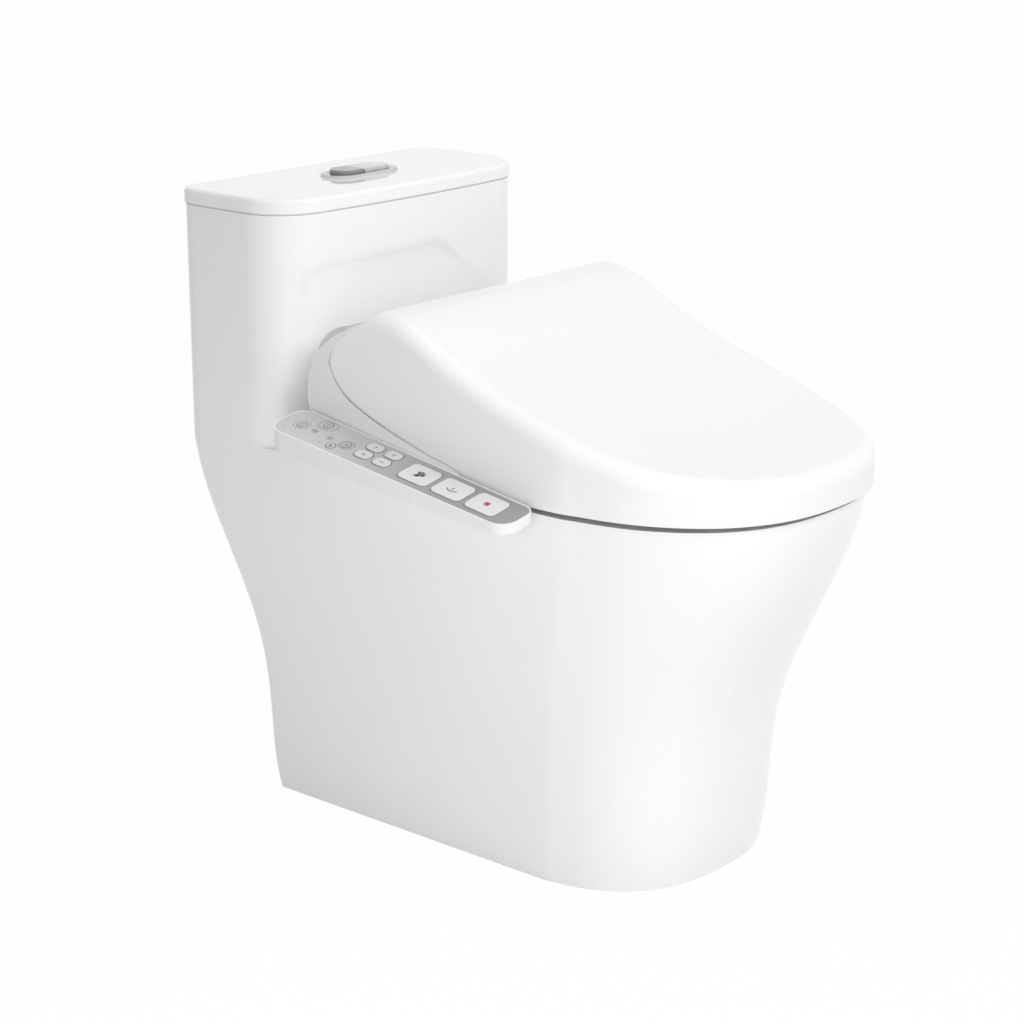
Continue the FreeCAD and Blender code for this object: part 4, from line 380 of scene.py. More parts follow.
@dataclass(frozen=True)
class Brushed:
    """A metal with fine lines along X.

    Attributes:
        name: The material's name.
        colour: The metal's colour.
        smooth: The lowest roughness.
        rough: The highest roughness.
        stretch: Lines to the metre along X, Y and Z.
        bump: The height of the lines in metres.
    """

    name: str
    colour: Colour
    smooth: float = 0.12
    rough: float = 0.3
    stretch: Place = (30.0, 1800.0, 1800.0)
    bump: float = 2e-5

    def material(self) -> bpy.types.Material:
        """Build the material on the first call and find it again later."""
        name = self.name + FINISH_MARK
        if name in bpy.data.materials:
            return bpy.data.materials[name]
        made, net, shader = blank_material(name)
        shader.inputs["Base Color"].default_value = (*self.colour, 1)
        shader.inputs["Metallic"].default_value = 1.0
        group = net.add(
            "ShaderNodeGroup",
            node_tree=brush_group(),
            Stretch=self.stretch,
            Smooth=self.smooth,
            Rough=self.rough,
        )
        join_surface(net, group, shader, self.bump)
        return made


GLAZE = Finish(
    "china_glaze", (0.92, 0.92, 0.918), (0.90, 0.90, 0.898), 0.06, 0.12, 3.0, 60.0, 6e-4, 0.15,
    coat=0.6, coat_rough=0.03,
)
SEAT_WHITE = Finish(
    "seat_white", (0.92, 0.92, 0.92), (0.905, 0.905, 0.905), 0.22, 0.30, 4.0, 1600.0, 2e-5, 0.9,
    coat=0.15, coat_rough=0.15,
)
UNIT_WHITE = Finish(
    "unit_white", (0.86, 0.86, 0.86), (0.845, 0.845, 0.845), 0.26, 0.34, 5.0, 1600.0, 2e-5, 0.9,
)
# The fascia's colour darkens towards the front: painted shade.
FASCIA = Finish(
    "fascia_grey", (0.60, 0.605, 0.60), (0.58, 0.585, 0.58), 0.34, 0.42, 9.0, 3200.0, 2e-5,
    coat=0.1, coat_rough=0.25, front=(0.31, 0.315, 0.31), front_range=(0.07, -0.15),
)
BUMPER_RUBBER = Finish(
    "bumper_rubber", (0.80, 0.80, 0.79), (0.76, 0.76, 0.75), 0.55, 0.7, 30.0, 1400.0, 5e-5,
)
SYMBOL_DARK = Finish(
    "symbol_dark", (0.035, 0.035, 0.04), (0.05, 0.05, 0.055), 0.4, 0.5, 60.0, 3000.0, 1e-5,
)
SYMBOL_GREY = Finish(
    "symbol_grey", (0.13, 0.135, 0.14), (0.11, 0.115, 0.12), 0.4, 0.5, 60.0, 3000.0, 1e-5,
)
SYMBOL_RED = Finish(
    "symbol_red", (0.55, 0.03, 0.06), (0.48, 0.025, 0.05), 0.35, 0.45, 60.0, 3000.0, 1e-5,
)
FITTINGS: tuple[Finish | Brushed, ...] = (
    Finish("key_white", (0.74, 0.745, 0.74), (0.725, 0.73, 0.725), 0.3, 0.38, 20.0, 2600.0, 1e-5),
    Finish("key_cream", (0.70, 0.705, 0.69), (0.685, 0.69, 0.675), 0.3, 0.38, 20.0, 2600.0, 1e-5),
    Finish(
        "lens_clear", (0.55, 0.60, 0.57), (0.50, 0.56, 0.52), 0.08, 0.12, 40.0, 3000.0, 1e-5,
        coat=0.5,
    ),
    Finish(
        "chrome_bright", (0.64, 0.645, 0.65), (0.46, 0.465, 0.47), 0.08, 0.16, 30.0, 900.0, 1e-5,
        0.5, metal=1.0,
    ),
    Finish(
        "chrome_dark", (0.30, 0.305, 0.31), (0.22, 0.225, 0.23), 0.1, 0.18, 40.0, 900.0, 1e-5,
        0.5, metal=1.0,
    ),
    Finish("seal_rubber", (0.03, 0.03, 0.03), (0.05, 0.05, 0.05), 0.6, 0.75, 30.0, 1400.0, 6e-5),
    Finish("valve_white", (0.78, 0.78, 0.76), (0.74, 0.74, 0.72), 0.35, 0.5, 15.0, 1800.0, 3e-5),
    Finish("valve_blue", (0.05, 0.17, 0.45), (0.04, 0.14, 0.38), 0.35, 0.5, 15.0, 1800.0, 3e-5),
    Finish("valve_grey", (0.30, 0.31, 0.32), (0.26, 0.27, 0.28), 0.4, 0.55, 15.0, 1800.0, 3e-5),
    Finish("hose_soft", (0.70, 0.70, 0.68), (0.66, 0.66, 0.63), 0.35, 0.5, 25.0, 1200.0, 4e-5),
    Finish(
        "damper_black", (0.03, 0.03, 0.033), (0.045, 0.045, 0.048), 0.35, 0.5, 25.0, 1800.0, 4e-5,
    ),
    Finish("cradle_grey", (0.42, 0.42, 0.42), (0.38, 0.38, 0.38), 0.4, 0.5, 20.0, 1800.0, 3e-5),
    Finish("nozzle_white", (0.86, 0.86, 0.85), (0.84, 0.84, 0.83), 0.15, 0.22, 20.0, 1800.0, 1e-5),
    Finish("heater_case", (0.10, 0.10, 0.11), (0.07, 0.07, 0.08), 0.45, 0.6, 12.0, 1500.0, 6e-5),
    Finish(
        "board_green", (0.02, 0.12, 0.05), (0.015, 0.09, 0.035), 0.25, 0.4, 60.0, 900.0, 3e-5, 0.8,
        coat=0.3, coat_rough=0.1,
    ),
    Brushed("screw_steel", (0.56, 0.56, 0.57), 0.18, 0.34),
    Brushed("inlet_brass", (0.70, 0.52, 0.22), 0.2, 0.36, (900.0, 200.0, 200.0)),
    Brushed("heater_foil", (0.78, 0.78, 0.79), 0.15, 0.3, (200.0, 200.0, 200.0), 4e-5),
)
SLOT_FINISHES: dict[str, Finish | Brushed] = {
    finish.name: finish
    for finish in (GLAZE, SEAT_WHITE, UNIT_WHITE, FASCIA, BUMPER_RUBBER, *FITTINGS)
}


# ---------------------------------------- mesh helpers


def new_piece(
    name: str,
    vertices: np.ndarray,
    faces: np.ndarray | list,
    finish: Finish | Brushed,
    smooth_angle: float = PRINT_ANGLE,
) -> bpy.types.Object:
    """Make an object at the origin from points and faces.

    Args:
        name: The piece's name.
        vertices: Points in metres, one row each.
        faces: Point numbers of each face.
        finish: The finish that it gets.
        smooth_angle: Edges that bend less than this many degrees are shaded smooth.

    Returns:
        The object, linked to the scene.
    """
    mesh = bpy.data.meshes.new(name)
    listed = faces.tolist() if isinstance(faces, np.ndarray) else faces
    mesh.from_pydata(vertices.tolist(), [], listed)
    mesh.validate()
    mesh.shade_smooth()
    mesh.set_sharp_from_angle(angle=math.radians(smooth_angle))
    mesh.materials.append(finish.material())
    made = bpy.data.objects.new(name, mesh)
    bpy.context.scene.collection.objects.link(made)
    return made


def merged_points(node: bpy.types.Object) -> tuple[np.ndarray, np.ndarray]:
    """Read a CAD node's triangles and weld the points that share a place.

    Args:
        node: The CAD node's object.

    Returns:
        The welded points, and the triangles as rows of three point numbers.
    """
    mesh = node.data
    points = np.empty(len(mesh.vertices) * 3, np.float32)
    mesh.vertices.foreach_get("co", points)
    corners = np.empty(len(mesh.loops), np.int32)
    mesh.loops.foreach_get("vertex_index", corners)
    points = points.reshape(-1, 3).astype(np.float64)
    keys = np.round(points / WELD_GRID).astype(np.int64)
    _, first, number = np.unique(keys, axis=0, return_index=True, return_inverse=True)
    triangles = number.reshape(-1)[corners].reshape(-1, 3)
    distinct = (
        (triangles[:, 0] != triangles[:, 1])
        & (triangles[:, 1] != triangles[:, 2])
        & (triangles[:, 0] != triangles[:, 2])
    )
    return points[first], triangles[distinct]


def dressed_copy(node: bpy.types.Object, body: str, slot: str) -> None:
    """Stand a welded, smoothly shaded copy in for a CAD node.

    Args:
        node: The CAD node's object.
        body: The body that it rides on.
        slot: The record's material slot, which also names the finish.
    """
    points, triangles = merged_points(node)
    piece = new_piece(node.name + "_skin", points, triangles, SLOT_FINISHES[slot], PART_ANGLE)
    weigh = piece.modifiers.new("even_shading", "WEIGHTED_NORMAL")
    weigh.keep_sharp = True
    weigh.weight = LARGE_FACE_LEAD
    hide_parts(node.name)
    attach(piece, body)


# ---------------------------------------- control arm signs


@dataclass(frozen=True)
class ArmFrame:
    """The control arm's own frame: X across, Y back along it, Z square to its face.

    Attributes:
        origin: Its origin in metres.
        pitch: How far it tips down to the front, in degrees.
        roll: How far its outer edge tips down, in degrees.
    """

    origin: Place = (-0.219, -0.057, 0.4256)
    pitch: float = 8.56
    roll: float = 11.25

    def place(self, points: np.ndarray) -> np.ndarray:
        """Carry points in the arm's frame, in millimetres, into the object's, in metres."""
        turn = Matrix.Rotation(math.radians(self.pitch), 3, "X") @ Matrix.Rotation(
            math.radians(-self.roll), 3, "Y"
        )
        return points * MM @ np.array(turn).T + np.array(self.origin)


@dataclass
class Stroke:
    """A printed line: a path in the arm's plane with a width at each point.

    Attributes:
        path: Points in millimetres, one row each.
        width: The line's width at each point, in millimetres.
        closed: Whether the line's end joins its start.
    """

    path: np.ndarray
    width: np.ndarray
    closed: bool = False

    def solid(self, low: float, high: float) -> tuple[np.ndarray, np.ndarray]:
        """Raise the line between two heights.

        The line's sides are the path shifted both ways along its normal by half the width.
        Each station has four corners, and neighbours are joined by four strips.

        Args:
            low: The lower height in millimetres.
            high: The upper height in millimetres.

        Returns:
            Points in the arm's frame, and faces of four point numbers.
        """
        if self.closed:
            ahead = np.roll(self.path, -1, 0) - np.roll(self.path, 1, 0)
        else:
            ahead = np.gradient(self.path, axis=0)
        ahead /= np.linalg.norm(ahead, axis=1, keepdims=True)
        side = np.stack([-ahead[:, 1], ahead[:, 0]], 1) * self.width[:, None] / 2
        count = len(self.path)
        left, right = self.path + side, self.path - side
        rings = np.empty((count, 4, 3))
        rings[:, [0, 3], :2] = left[:, None]
        rings[:, [1, 2], :2] = right[:, None]
        rings[:, 0, 2] = rings[:, 1, 2] = high
        rings[:, 2, 2] = rings[:, 3, 2] = low
        steps = np.arange(count if self.closed else count - 1)
        after = (steps + 1) % count
        corner = np.arange(4)
        near = 4 * steps[:, None] + corner
        far = 4 * after[:, None] + corner
        near_next = 4 * steps[:, None] + (corner + 1) % 4
        far_next = 4 * after[:, None] + (corner + 1) % 4
        faces = np.stack([near, near_next, far_next, far], 2).reshape(-1, 4)
        if not self.closed:
            faces = np.concatenate([faces, [corner[[0, 3, 2, 1]], 4 * (count - 1) + corner]])
        return rings.reshape(-1, 3), faces


def line(points: Iterable[Point], width: float, count: int = 12) -> Stroke:
    """A stroke of one width through a few points, evenly divided.

    Args:
        points: The points it passes, in millimetres.
        width: Its width in millimetres.
        count: How many stations it has.

    Returns:
        The stroke.
    """
    path = np.array(list(points), float)
    run = np.concatenate([[0], np.cumsum(np.linalg.norm(np.diff(path, axis=0), axis=1))])
    at = np.linspace(0, run[-1], count)
    even = np.stack([np.interp(at, run, path[:, 0]), np.interp(at, run, path[:, 1])], 1)
    return Stroke(even, np.full(count, width))


def arc(
    centre: Point, radius: float, start: float, end: float, width: float, count: int = 24
) -> Stroke:
    """A stroke along part of a circle, from one angle to another in degrees.

    Args:
        centre: The circle's centre in millimetres.
        radius: Its radius in millimetres.
        start: The first angle.
        end: The last angle.
        width: The stroke's width in millimetres.
        count: How many stations it has.

    Returns:
        The stroke.
    """
    angle = np.radians(np.linspace(start, end, count))
    path = np.array(centre) + radius * np.stack([np.cos(angle), np.sin(angle)], 1)
    return Stroke(path, np.full(count, width))


def drop(start: Point, end: Point, width: float, count: int = 16) -> Stroke:
    """A teardrop: its width swells as a power of the run up to its widest place, then rounds off.

    Args:
        start: Its tip in millimetres.
        end: Its round end in millimetres.
        width: Its largest width in millimetres.
        count: How many stations it has.

    Returns:
        The stroke.
    """
    widest, power, tip = 0.66, 1.3, 0.06
    share = np.linspace(0, 1, count)
    path = np.array(start) + (np.array(end) - np.array(start)) * share[:, None]
    past = (share - widest) / (1 - widest)
    swell = np.where(
        share < widest, (share / widest) ** power, np.sqrt(np.clip(1 - past**2, 0, 1))
    )
    return Stroke(path, np.maximum(width * swell, tip))


def ring(centre: Point, radius: float, width: float) -> Stroke:
    """A closed stroke along a full circle.

    Args:
        centre: The circle's centre in millimetres.
        radius: Its radius in millimetres.
        width: The stroke's width in millimetres.

    Returns:
        The stroke.
    """
    angle = np.radians(np.arange(0, 360, RING_STEP))
    path = np.array(centre) + radius * np.stack([np.cos(angle), np.sin(angle)], 1)
    return Stroke(path, np.full(len(path), width), True)


def rounded_ring(centre: Point, half: Point, corner: float, width: float) -> Stroke:
    """A closed stroke round a rectangle with round corners.

    Each corner is a quarter circle about its own centre, and straight runs join them.

    Args:
        centre: The rectangle's centre in millimetres.
        half: Half its width and half its length.
        corner: The corners' radius.
        width: The stroke's width.

    Returns:
        The stroke.
    """
    angle = np.radians(np.arange(0, 360, RING_STEP) + RING_STEP / 2)
    round_way = np.stack([np.cos(angle), np.sin(angle)], 1)
    middle = np.sign(round_way) * (np.array(half) - corner)
    path = np.array(centre) + middle + corner * round_way
    return Stroke(path, np.full(len(path), width), True)


# The signs' lines in millimetres round each key's middle, X to the right and Y up.
SPRAY_TIPS = ((-3.4, 4.6), (0.8, 6.2), (5.2, 4.4), (6.4, 0.6))
SMALL_SIGNS: dict[str, list[list[Point]]] = {
    "pressure_down": [[(-1.9, 0.0), (1.9, 0.0)]],
    "pressure_up": [
        [(-1.9, 0.0), (-0.4, 0.0)],
        [(0.4, 0.0), (1.9, 0.0)],
        [(0.0, -1.9), (0.0, 1.9)],
    ],
    "position_down": [[(1.2, 1.9), (-1.2, 0.0), (1.2, -1.9)]],
    "position_up": [[(-1.2, 1.9), (1.2, 0.0), (-1.2, -1.9)]],
}


@dataclass
class ControlArm:
    """The signs printed on the arm's face and keys. All its sizes are in millimetres.

    Attributes:
        frame: The arm's frame.
        ink: The print's thickness.
        sink: How far the print reaches into what carries it.
        large_top: Height of the large keys' tops over the face.
        small_top: Height of the small keys' tops over the face.
        round_top: Height of the round keys' tops over the face.
        large_first: Distance of the first large key in front of the frame's origin.
        large_pitch: Distance between large keys.
        large_half: Half a large key's width and length.
        large_corner: The large key's corner radius.
        large_line: The width of the dark line round a large key, a painted shade of its gap.
        large_sign_line: The width of the fountain's lines.
        small_middle: X of the middle between the small keys.
        small_gauge: Half the distance between the two columns of small keys.
        small_rows: Y of the two rows of small keys.
        small_half: Half a small key's width and length.
        small_corner: The small key's corner radius.
        small_line: The width of the line round a small key.
        small_sign_line: The width of the lines of the small keys' signs.
        play: The gap round each key.
        round_places: The centres of the power, light, water heat and seat heat keys.
        round_radius: The round keys' radius.
        round_line: The width of the rings and ovals round them.
        round_sign_line: The width of the lines of their signs.
        dash_radius: The radius of the dashed ring round the power key.
        dash_line: The width of its dashes.
        dash_turn: The angle that a dash takes, in degrees.
        dash_step: The angle from one dash to the next, in degrees.
        ovals: The middle, half size and corner radius of the light and seat heat keys' ovals.
        sun_place: The centre of the warm-air sign between the round keys.
        wave_place: The centre of the water sign between the round keys.
    """

    frame: ArmFrame = ArmFrame()
    ink: float = 0.08
    sink: float = 0.02
    large_top: float = 1.0
    small_top: float = 0.6
    round_top: float = 0.4
    large_first: float = 28.0
    large_pitch: float = 43.5
    large_half: Point = (15.0, 18.5)
    large_corner: float = 6.0
    large_line: float = 0.55
    large_sign_line: float = 1.3
    small_middle: float = 3.0
    small_gauge: float = 8.6
    small_rows: Point = (17.5, 42.0)
    small_half: Point = (6.75, 9.5)
    small_corner: float = 5.5
    small_line: float = 0.75
    small_sign_line: float = 0.8
    play: float = 0.35
    round_places: tuple[Point, ...] = ((-1.0, 132.0), (14.0, 109.5), (-13.3, 79.5), (-3.0, 68.0))
    round_radius: float = 4.6
    round_line: float = 0.5
    round_sign_line: float = 0.6
    dash_radius: float = 8.6
    dash_line: float = 0.55
    dash_turn: float = 26.0
    dash_step: int = 40
    ovals: tuple[tuple[Point, Point, float], ...] = (
        ((13.5, 109.5), (7.6, 11.0), 7.5),
        ((-3.0, 67.5), (7.4, 8.2), 7.3),
    )
    sun_place: Point = (-3.1, 90.8)
    wave_place: Point = (-2.1, 112.7)

    def print_on(
        self,
        name: str,
        strokes: list[Stroke],
        base: float,
        body: str,
        finish: Finish = SYMBOL_GREY,
    ) -> None:
        """Join strokes into one thin printed piece.

        Args:
            name: The piece's name.
            strokes: The lines, in the arm's plane.
            base: The height of the surface that carries them.
            body: The body that the piece rides on.
            finish: Its finish.
        """
        points, faces, offset = [], [], 0
        for stroke in strokes:
            more, quads = stroke.solid(base - self.sink, base + self.ink)
            points.append(more)
            faces.append(quads + offset)
            offset += len(more)
        placed = self.frame.place(np.concatenate(points))
        piece = new_piece(name, placed, np.concatenate(faces), finish)
        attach(piece, body)
        LOG.info("printed %s on %s", name, body)

    def print_signs(self, signs: dict[str, tuple[list[Stroke], Point]], height: float) -> None:
        """Print a grey sign on each of several keys.

        Args:
            signs: The lines and the place of each sign, under its key's name.
            height: The height of the keys' tops over the face.
        """
        for key, (strokes, place) in signs.items():
            self.print_on(f"{key}_symbol", self.turned(strokes, place), height, f"{key}_key_cap")

    def turned(self, strokes: list[Stroke], centre: Point) -> list[Stroke]:
        """Turn upright strokes about (0, 0) so that they read from beside the arm, and place them.

        Up in the sign becomes X, to the seat, and right becomes -Y, to the front.

        Args:
            strokes: The sign's lines round (0, 0).
            centre: Its place in the arm's plane.

        Returns:
            The turned lines.
        """
        return [
            Stroke(
                np.array(centre) + np.stack([stroke.path[:, 1], -stroke.path[:, 0]], 1),
                stroke.width,
                stroke.closed,
            )
            for stroke in strokes
        ]

    def outlines(
        self, places: Iterable[Point], half: Point, corner: float, width: float
    ) -> list[Stroke]:
        """Lines just outside the gap round keys of one size.

        Args:
            places: The keys' centres.
            half: Half a key's width and length.
            corner: Its corner radius.
            width: The line's width.

        Returns:
            A closed stroke for each key.
        """
        grow = self.play + width / 2
        wider = (half[0] + grow, half[1] + grow)
        return [rounded_ring(place, wider, corner + grow, width) for place in places]

    def large_signs(self) -> None:
        """Print the spray, the fountain and the stop square, and a dark line of painted gap shade
        round each key.
        """
        rear, middle, front = (
            (0.0, -self.large_first - self.large_pitch * step) for step in range(3)
        )
        spray = [drop((-0.6, -3.0), tip, 2.6) for tip in SPRAY_TIPS]
        spray.append(drop((-5.6, -5.4), (1.2, -1.6), 5.2))
        width = self.large_sign_line
        fountain = [
            arc((0.0, 3.6), 8.0, 218, 322, width, 32),
            line([(0.0, -2.0), (0.0, 2.6)], width),
        ]
        stop = [line([(-2.9, 0.0), (2.9, 0.0)], 5.8)]
        rows = (
            ("rear_wash_key", spray, rear, SYMBOL_DARK, "seal_rubber"),
            ("front_wash_key", fountain, middle, SYMBOL_GREY, "fascia_grey"),
            ("stop_key", stop, front, SYMBOL_RED, "fascia_grey"),
        )
        for key, strokes, place, finish, slot in rows:
            placed = self.turned(strokes, place)
            self.print_on(f"{key}_symbol", placed, self.large_top, f"{key}_cap", finish)
        # The dark lines just outside the large keys' gaps are painted shade of those gaps.
        outlines = self.outlines(
            (rear, middle, front), self.large_half, self.large_corner, self.large_line
        )
        self.print_on("large_key_gap_shade", outlines, 0.0, "wash_unit")

    def small_signs(self) -> None:
        """Print minus, plus and two arrow heads on the small keys, and a thin line round each."""
        columns = (self.small_middle - self.small_gauge, self.small_middle + self.small_gauge)
        places = [(x, y) for x in columns for y in self.small_rows]
        signs = {
            key: ([line(path, self.small_sign_line) for path in paths], place)
            for (key, paths), place in zip(SMALL_SIGNS.items(), places)
        }
        self.print_signs(signs, self.small_top)
        outlines = self.outlines(places, self.small_half, self.small_corner, self.small_line)
        self.print_on("small_key_outlines", outlines, 0.0, "wash_unit")

    def rear_outlines(self) -> None:
        """Print the rings and ovals round the rear keys, and the sun and waves between them."""
        near = self.round_radius + self.play + self.round_line
        rings = [ring(place, near, self.round_line) for place in self.round_places]
        dashes = [
            arc(
                self.round_places[0], self.dash_radius, start, start + self.dash_turn,
                self.dash_line, 8,
            )
            for start in range(0, 360, self.dash_step)
        ]
        ovals = [
            rounded_ring(middle, half, corner, self.round_line)
            for middle, half, corner in self.ovals
        ]
        turns = np.arange(0, 2 * math.pi, math.pi / 4)
        rays = [
            line([(2.6 * x, 2.6 * y), (4.0 * x, 4.0 * y)], self.round_line, 3)
            for x, y in zip(np.cos(turns), np.sin(turns))
        ]
        width = self.round_sign_line
        sun = self.turned(rays + [arc((0.0, 0.0), 1.5, 0, 350, width)], self.sun_place)
        waves = [
            line([(-3.6, y), (-1.8, y + 1.1), (0.0, y), (1.8, y - 1.1), (3.6, y)], width)
            for y in (-1.8, 0.0, 1.8)
        ]
        marks = rings + dashes + ovals + sun + self.turned(waves, self.wave_place)
        self.print_on("rear_key_outlines", marks, 0.0, "wash_unit")

    def rear_signs(self) -> None:
        """Print power, a lamp bulb, a drop and rising warmth on the rear keys."""
        power, light, water, heat = self.round_places
        width = self.round_sign_line
        signs = {
            "power": (
                [arc((0.0, 0.0), 2.2, 120, 420, width), line([(0.0, 0.6), (0.0, 3.0)], width)],
                power,
            ),
            "light": (
                [arc((0.0, 0.4), 1.6, 0, 350, width), line([(-1.2, -2.4), (1.2, -2.4)], width)],
                light,
            ),
            "water_heat": ([drop((0.0, 2.8), (0.0, -2.4), 3.2)], water),
            "seat_heat": (
                [line([(x, -2.0), (x + 0.6, 0.0), (x, 2.0)], width) for x in (-1.7, 0.0, 1.7)],
                heat,
            ),
        }
        self.print_signs(signs, self.round_top)

    def build(self) -> None:
        """Print every sign."""
        self.large_signs()
        self.small_signs()
        self.rear_outlines()
        self.rear_signs()


# ---------------------------------------- fairing and lid strip


def smooth_path(points: np.ndarray, steps: int) -> np.ndarray:
    """Carry a curve through points, each span a cubic with its neighbours' chords as end slopes.

    Args:
        points: The points that it passes, one row each.
        steps: How many stations each span gets.

    Returns:
        The stations, one row each.
    """
    before = np.vstack([2 * points[0] - points[1], points[:-2]])
    start, end = points[:-1], points[1:]
    beyond = np.vstack([points[2:], 2 * points[-1] - points[-2]])
    share = np.linspace(0, 1, steps, endpoint=False)[None, :, None]
    first, last = (end - before)[:, None] / 2, (beyond - start)[:, None] / 2
    start, end = start[:, None], end[:, None]
    curve = (
        (2 * share**3 - 3 * share**2 + 1) * start
        + (share**3 - 2 * share**2 + share) * first
        + (3 * share**2 - 2 * share**3) * end
        + (share**3 - share**2) * last
    )
    return np.vstack([curve.reshape(-1, points.shape[1]), points[-1:]])


def closed_strip(sections: np.ndarray) -> np.ndarray:
    """Faces of a skin over a row of closed sections: every section is joined to the next.

    Args:
        sections: Points by section, by corner, by axis.

    Returns:
        Rows of four point numbers, the sections' points counted in order.
    """
    count, corners = sections.shape[:2]
    row = np.arange(count - 1)[:, None] * corners
    corner = np.arange(corners)
    after = (corner + 1) % corners
    skin = np.stack([row + corner, row + after, row + corners + after, row + corners + corner], 2)
    return skin.reshape(-1, 4)


@dataclass(frozen=True)
class ArmFairing:
    """The thin wall that rises from the arm's inner edge to the lid's cheek and the cover's side.

    Attributes:
        face: X of its outer face in millimetres.
        thick: Its thickness.
        flare: How far its foot spreads over the arm's edge.
        flare_end: The share of its run along which the foot spreads.
        across: How many stations it has from foot to crest.
        span_steps: How many stations lie between two points of crest and foot.
        crest: Y and Z of the crest, which follows the cheek's edge from the front up to the top.
        foot: Y and Z of the foot, along the arm and up the cover's back.
    """

    face: float = -189.8
    thick: float = 1.0
    flare: float = 3.6
    flare_end: float = 0.5
    across: int = 9
    span_steps: int = 8
    crest: tuple[Point, ...] = (
        (-108, 420.6), (-90, 426.6), (-72, 430.2), (-50, 436.6), (-29, 442.9), (0, 452.6),
        (22, 461.4), (40, 470.4), (52, 479.9), (60, 489.4), (65.6, 501.0), (65.2, 508.0),
        (59.4, 519.4), (47.4, 530.4), (33.7, 540.0), (14, 551.6),
    )
    foot: tuple[Point, ...] = (
        (-109, 418.0), (-90, 421.2), (-73, 424.6), (-48, 428.6), (-25, 432.0), (8, 437.0),
        (36, 441.2), (64, 444.8), (88, 447.5), (94.8, 459.0), (95, 476.0), (92, 492.0),
        (83, 509.5), (69, 524.0), (50, 536.5), (16, 552.3),
    )

    def build(self) -> None:
        """Join crest and foot by straight ribs, and flare the outer face at the foot."""
        crest = smooth_path(np.array(self.crest), self.span_steps)
        foot = smooth_path(np.array(self.foot), self.span_steps)
        count = len(crest)
        share = np.linspace(0, 1, self.across)
        flat = foot[:, None] + (crest - foot)[:, None] * share[None, :, None]
        run = np.linspace(0, 1, count)
        spread = self.flare * np.sqrt(np.clip(1 - run / self.flare_end, 0, 1))
        outer_x = self.face - spread[:, None] * (1 - share)[None] ** 2
        outer = np.concatenate([outer_x[..., None], flat], 2)
        inner = np.concatenate([np.full((count, self.across, 1), self.face + self.thick), flat], 2)
        sections = np.concatenate([outer, inner[:, ::-1]], 1)
        faces = closed_strip(sections)
        corners = sections.shape[1]
        last = (count - 1) * corners
        caps = [list(range(corners))[::-1], list(range(last, last + corners))]
        points = sections.reshape(-1, 3) * MM
        piece = new_piece(
            "arm_side_fairing", points, faces.tolist() + caps, UNIT_WHITE, TRIM_ANGLE
        )
        face_outwards(piece)
        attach(piece, "wash_unit")
        LOG.info("built the arm's fairing")


@dataclass(frozen=True)
class LidJoint:
    """The pale grey strip that lies between the tank's rim and its lid, a little inside their
    outline; its grey is painted shade in place of the gap's shadow.

    Attributes:
        half: Half the tank's width in millimetres.
        front: Y of the middle of the tank's front.
        back: Y of its back.
        bow: The radius of the bowed front.
        front_corner: The radius of the front corners.
        rear_corner: The radius of the rear corners.
        inset: How far the strip's outer edge lies inside the tank's wall.
        width: Its width.
        low: Its lower height.
        high: Its upper height.
        front_steps: How many stations the bow and a front corner get each.
        rear_steps: How many stations a rear corner gets.
    """

    half: float = 188.5
    front: float = 121.0
    back: float = 285.0
    bow: float = 1760.0
    front_corner: float = 56.0
    rear_corner: float = 26.0
    inset: float = 0.9
    width: float = 5.0
    low: float = 640.1
    high: float = 641.95
    front_steps: int = 24
    rear_steps: int = 14

    def outline(self, inset: float) -> np.ndarray:
        """Stations of the tank's outline moved inwards.

        The front is an arc about a centre far behind; the corner circles touch it and the sides.

        Args:
            inset: How far inwards.

        Returns:
            Points on the right half from the front's middle to the back's, then the left half.
        """
        half, bow = self.half - inset, self.bow - inset
        corner, rear = self.front_corner - inset, self.rear_corner - inset
        across = half - corner
        centre_y = self.front + self.bow - math.sqrt((bow - corner) ** 2 - across**2)
        lean = math.asin(across / (bow - corner))
        sweep = np.linspace(0, lean, self.front_steps, endpoint=False)
        arc_front = np.stack([bow * np.sin(sweep), self.front + self.bow - bow * np.cos(sweep)], 1)
        turn = np.linspace(lean, math.pi / 2, self.front_steps)
        arc_corner = np.stack([across + corner * np.sin(turn), centre_y - corner * np.cos(turn)], 1)
        turn = np.linspace(0, math.pi / 2, self.rear_steps)
        middle = np.array([half - rear, self.back - inset - rear])
        arc_rear = middle + rear * np.stack([np.cos(turn), np.sin(turn)], 1)
        right = np.vstack([arc_front, arc_corner, arc_rear])
        left = right[:0:-1] * [-1, 1]
        return np.vstack([right, left])

    def build(self) -> None:
        """Carry a four-cornered profile round the outline."""
        outer, inner = self.outline(self.inset), self.outline(self.inset + self.width)
        rings = [(outer, self.low), (inner, self.low), (inner, self.high), (outer, self.high)]
        sections = np.stack(
            [np.column_stack([path, np.full(len(path), height)]) for path, height in rings], 1
        )
        closed = np.concatenate([sections, sections[:1]])
        faces = closed_strip(closed) % (len(sections) * 4)
        points = sections.reshape(-1, 3) * MM
        # The strip's pale grey stands in for the shade in the gap under the lid: painted shade.
        piece = new_piece("tank_lid_shade_strip", points, faces, BUMPER_RUBBER, TRIM_ANGLE)
        face_outwards(piece)
        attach(piece, "tank_cover")
        LOG.info("built the strip under the tank lid")


def face_outwards(piece: bpy.types.Object) -> None:
    """Turn every face of a closed piece outwards."""
    shape = bmesh.new()
    shape.from_mesh(piece.data)
    bmesh.ops.recalc_face_normals(shape, faces=shape.faces[:])
    shape.to_mesh(piece.data)
    shape.free()


# ---------------------------------------- studio


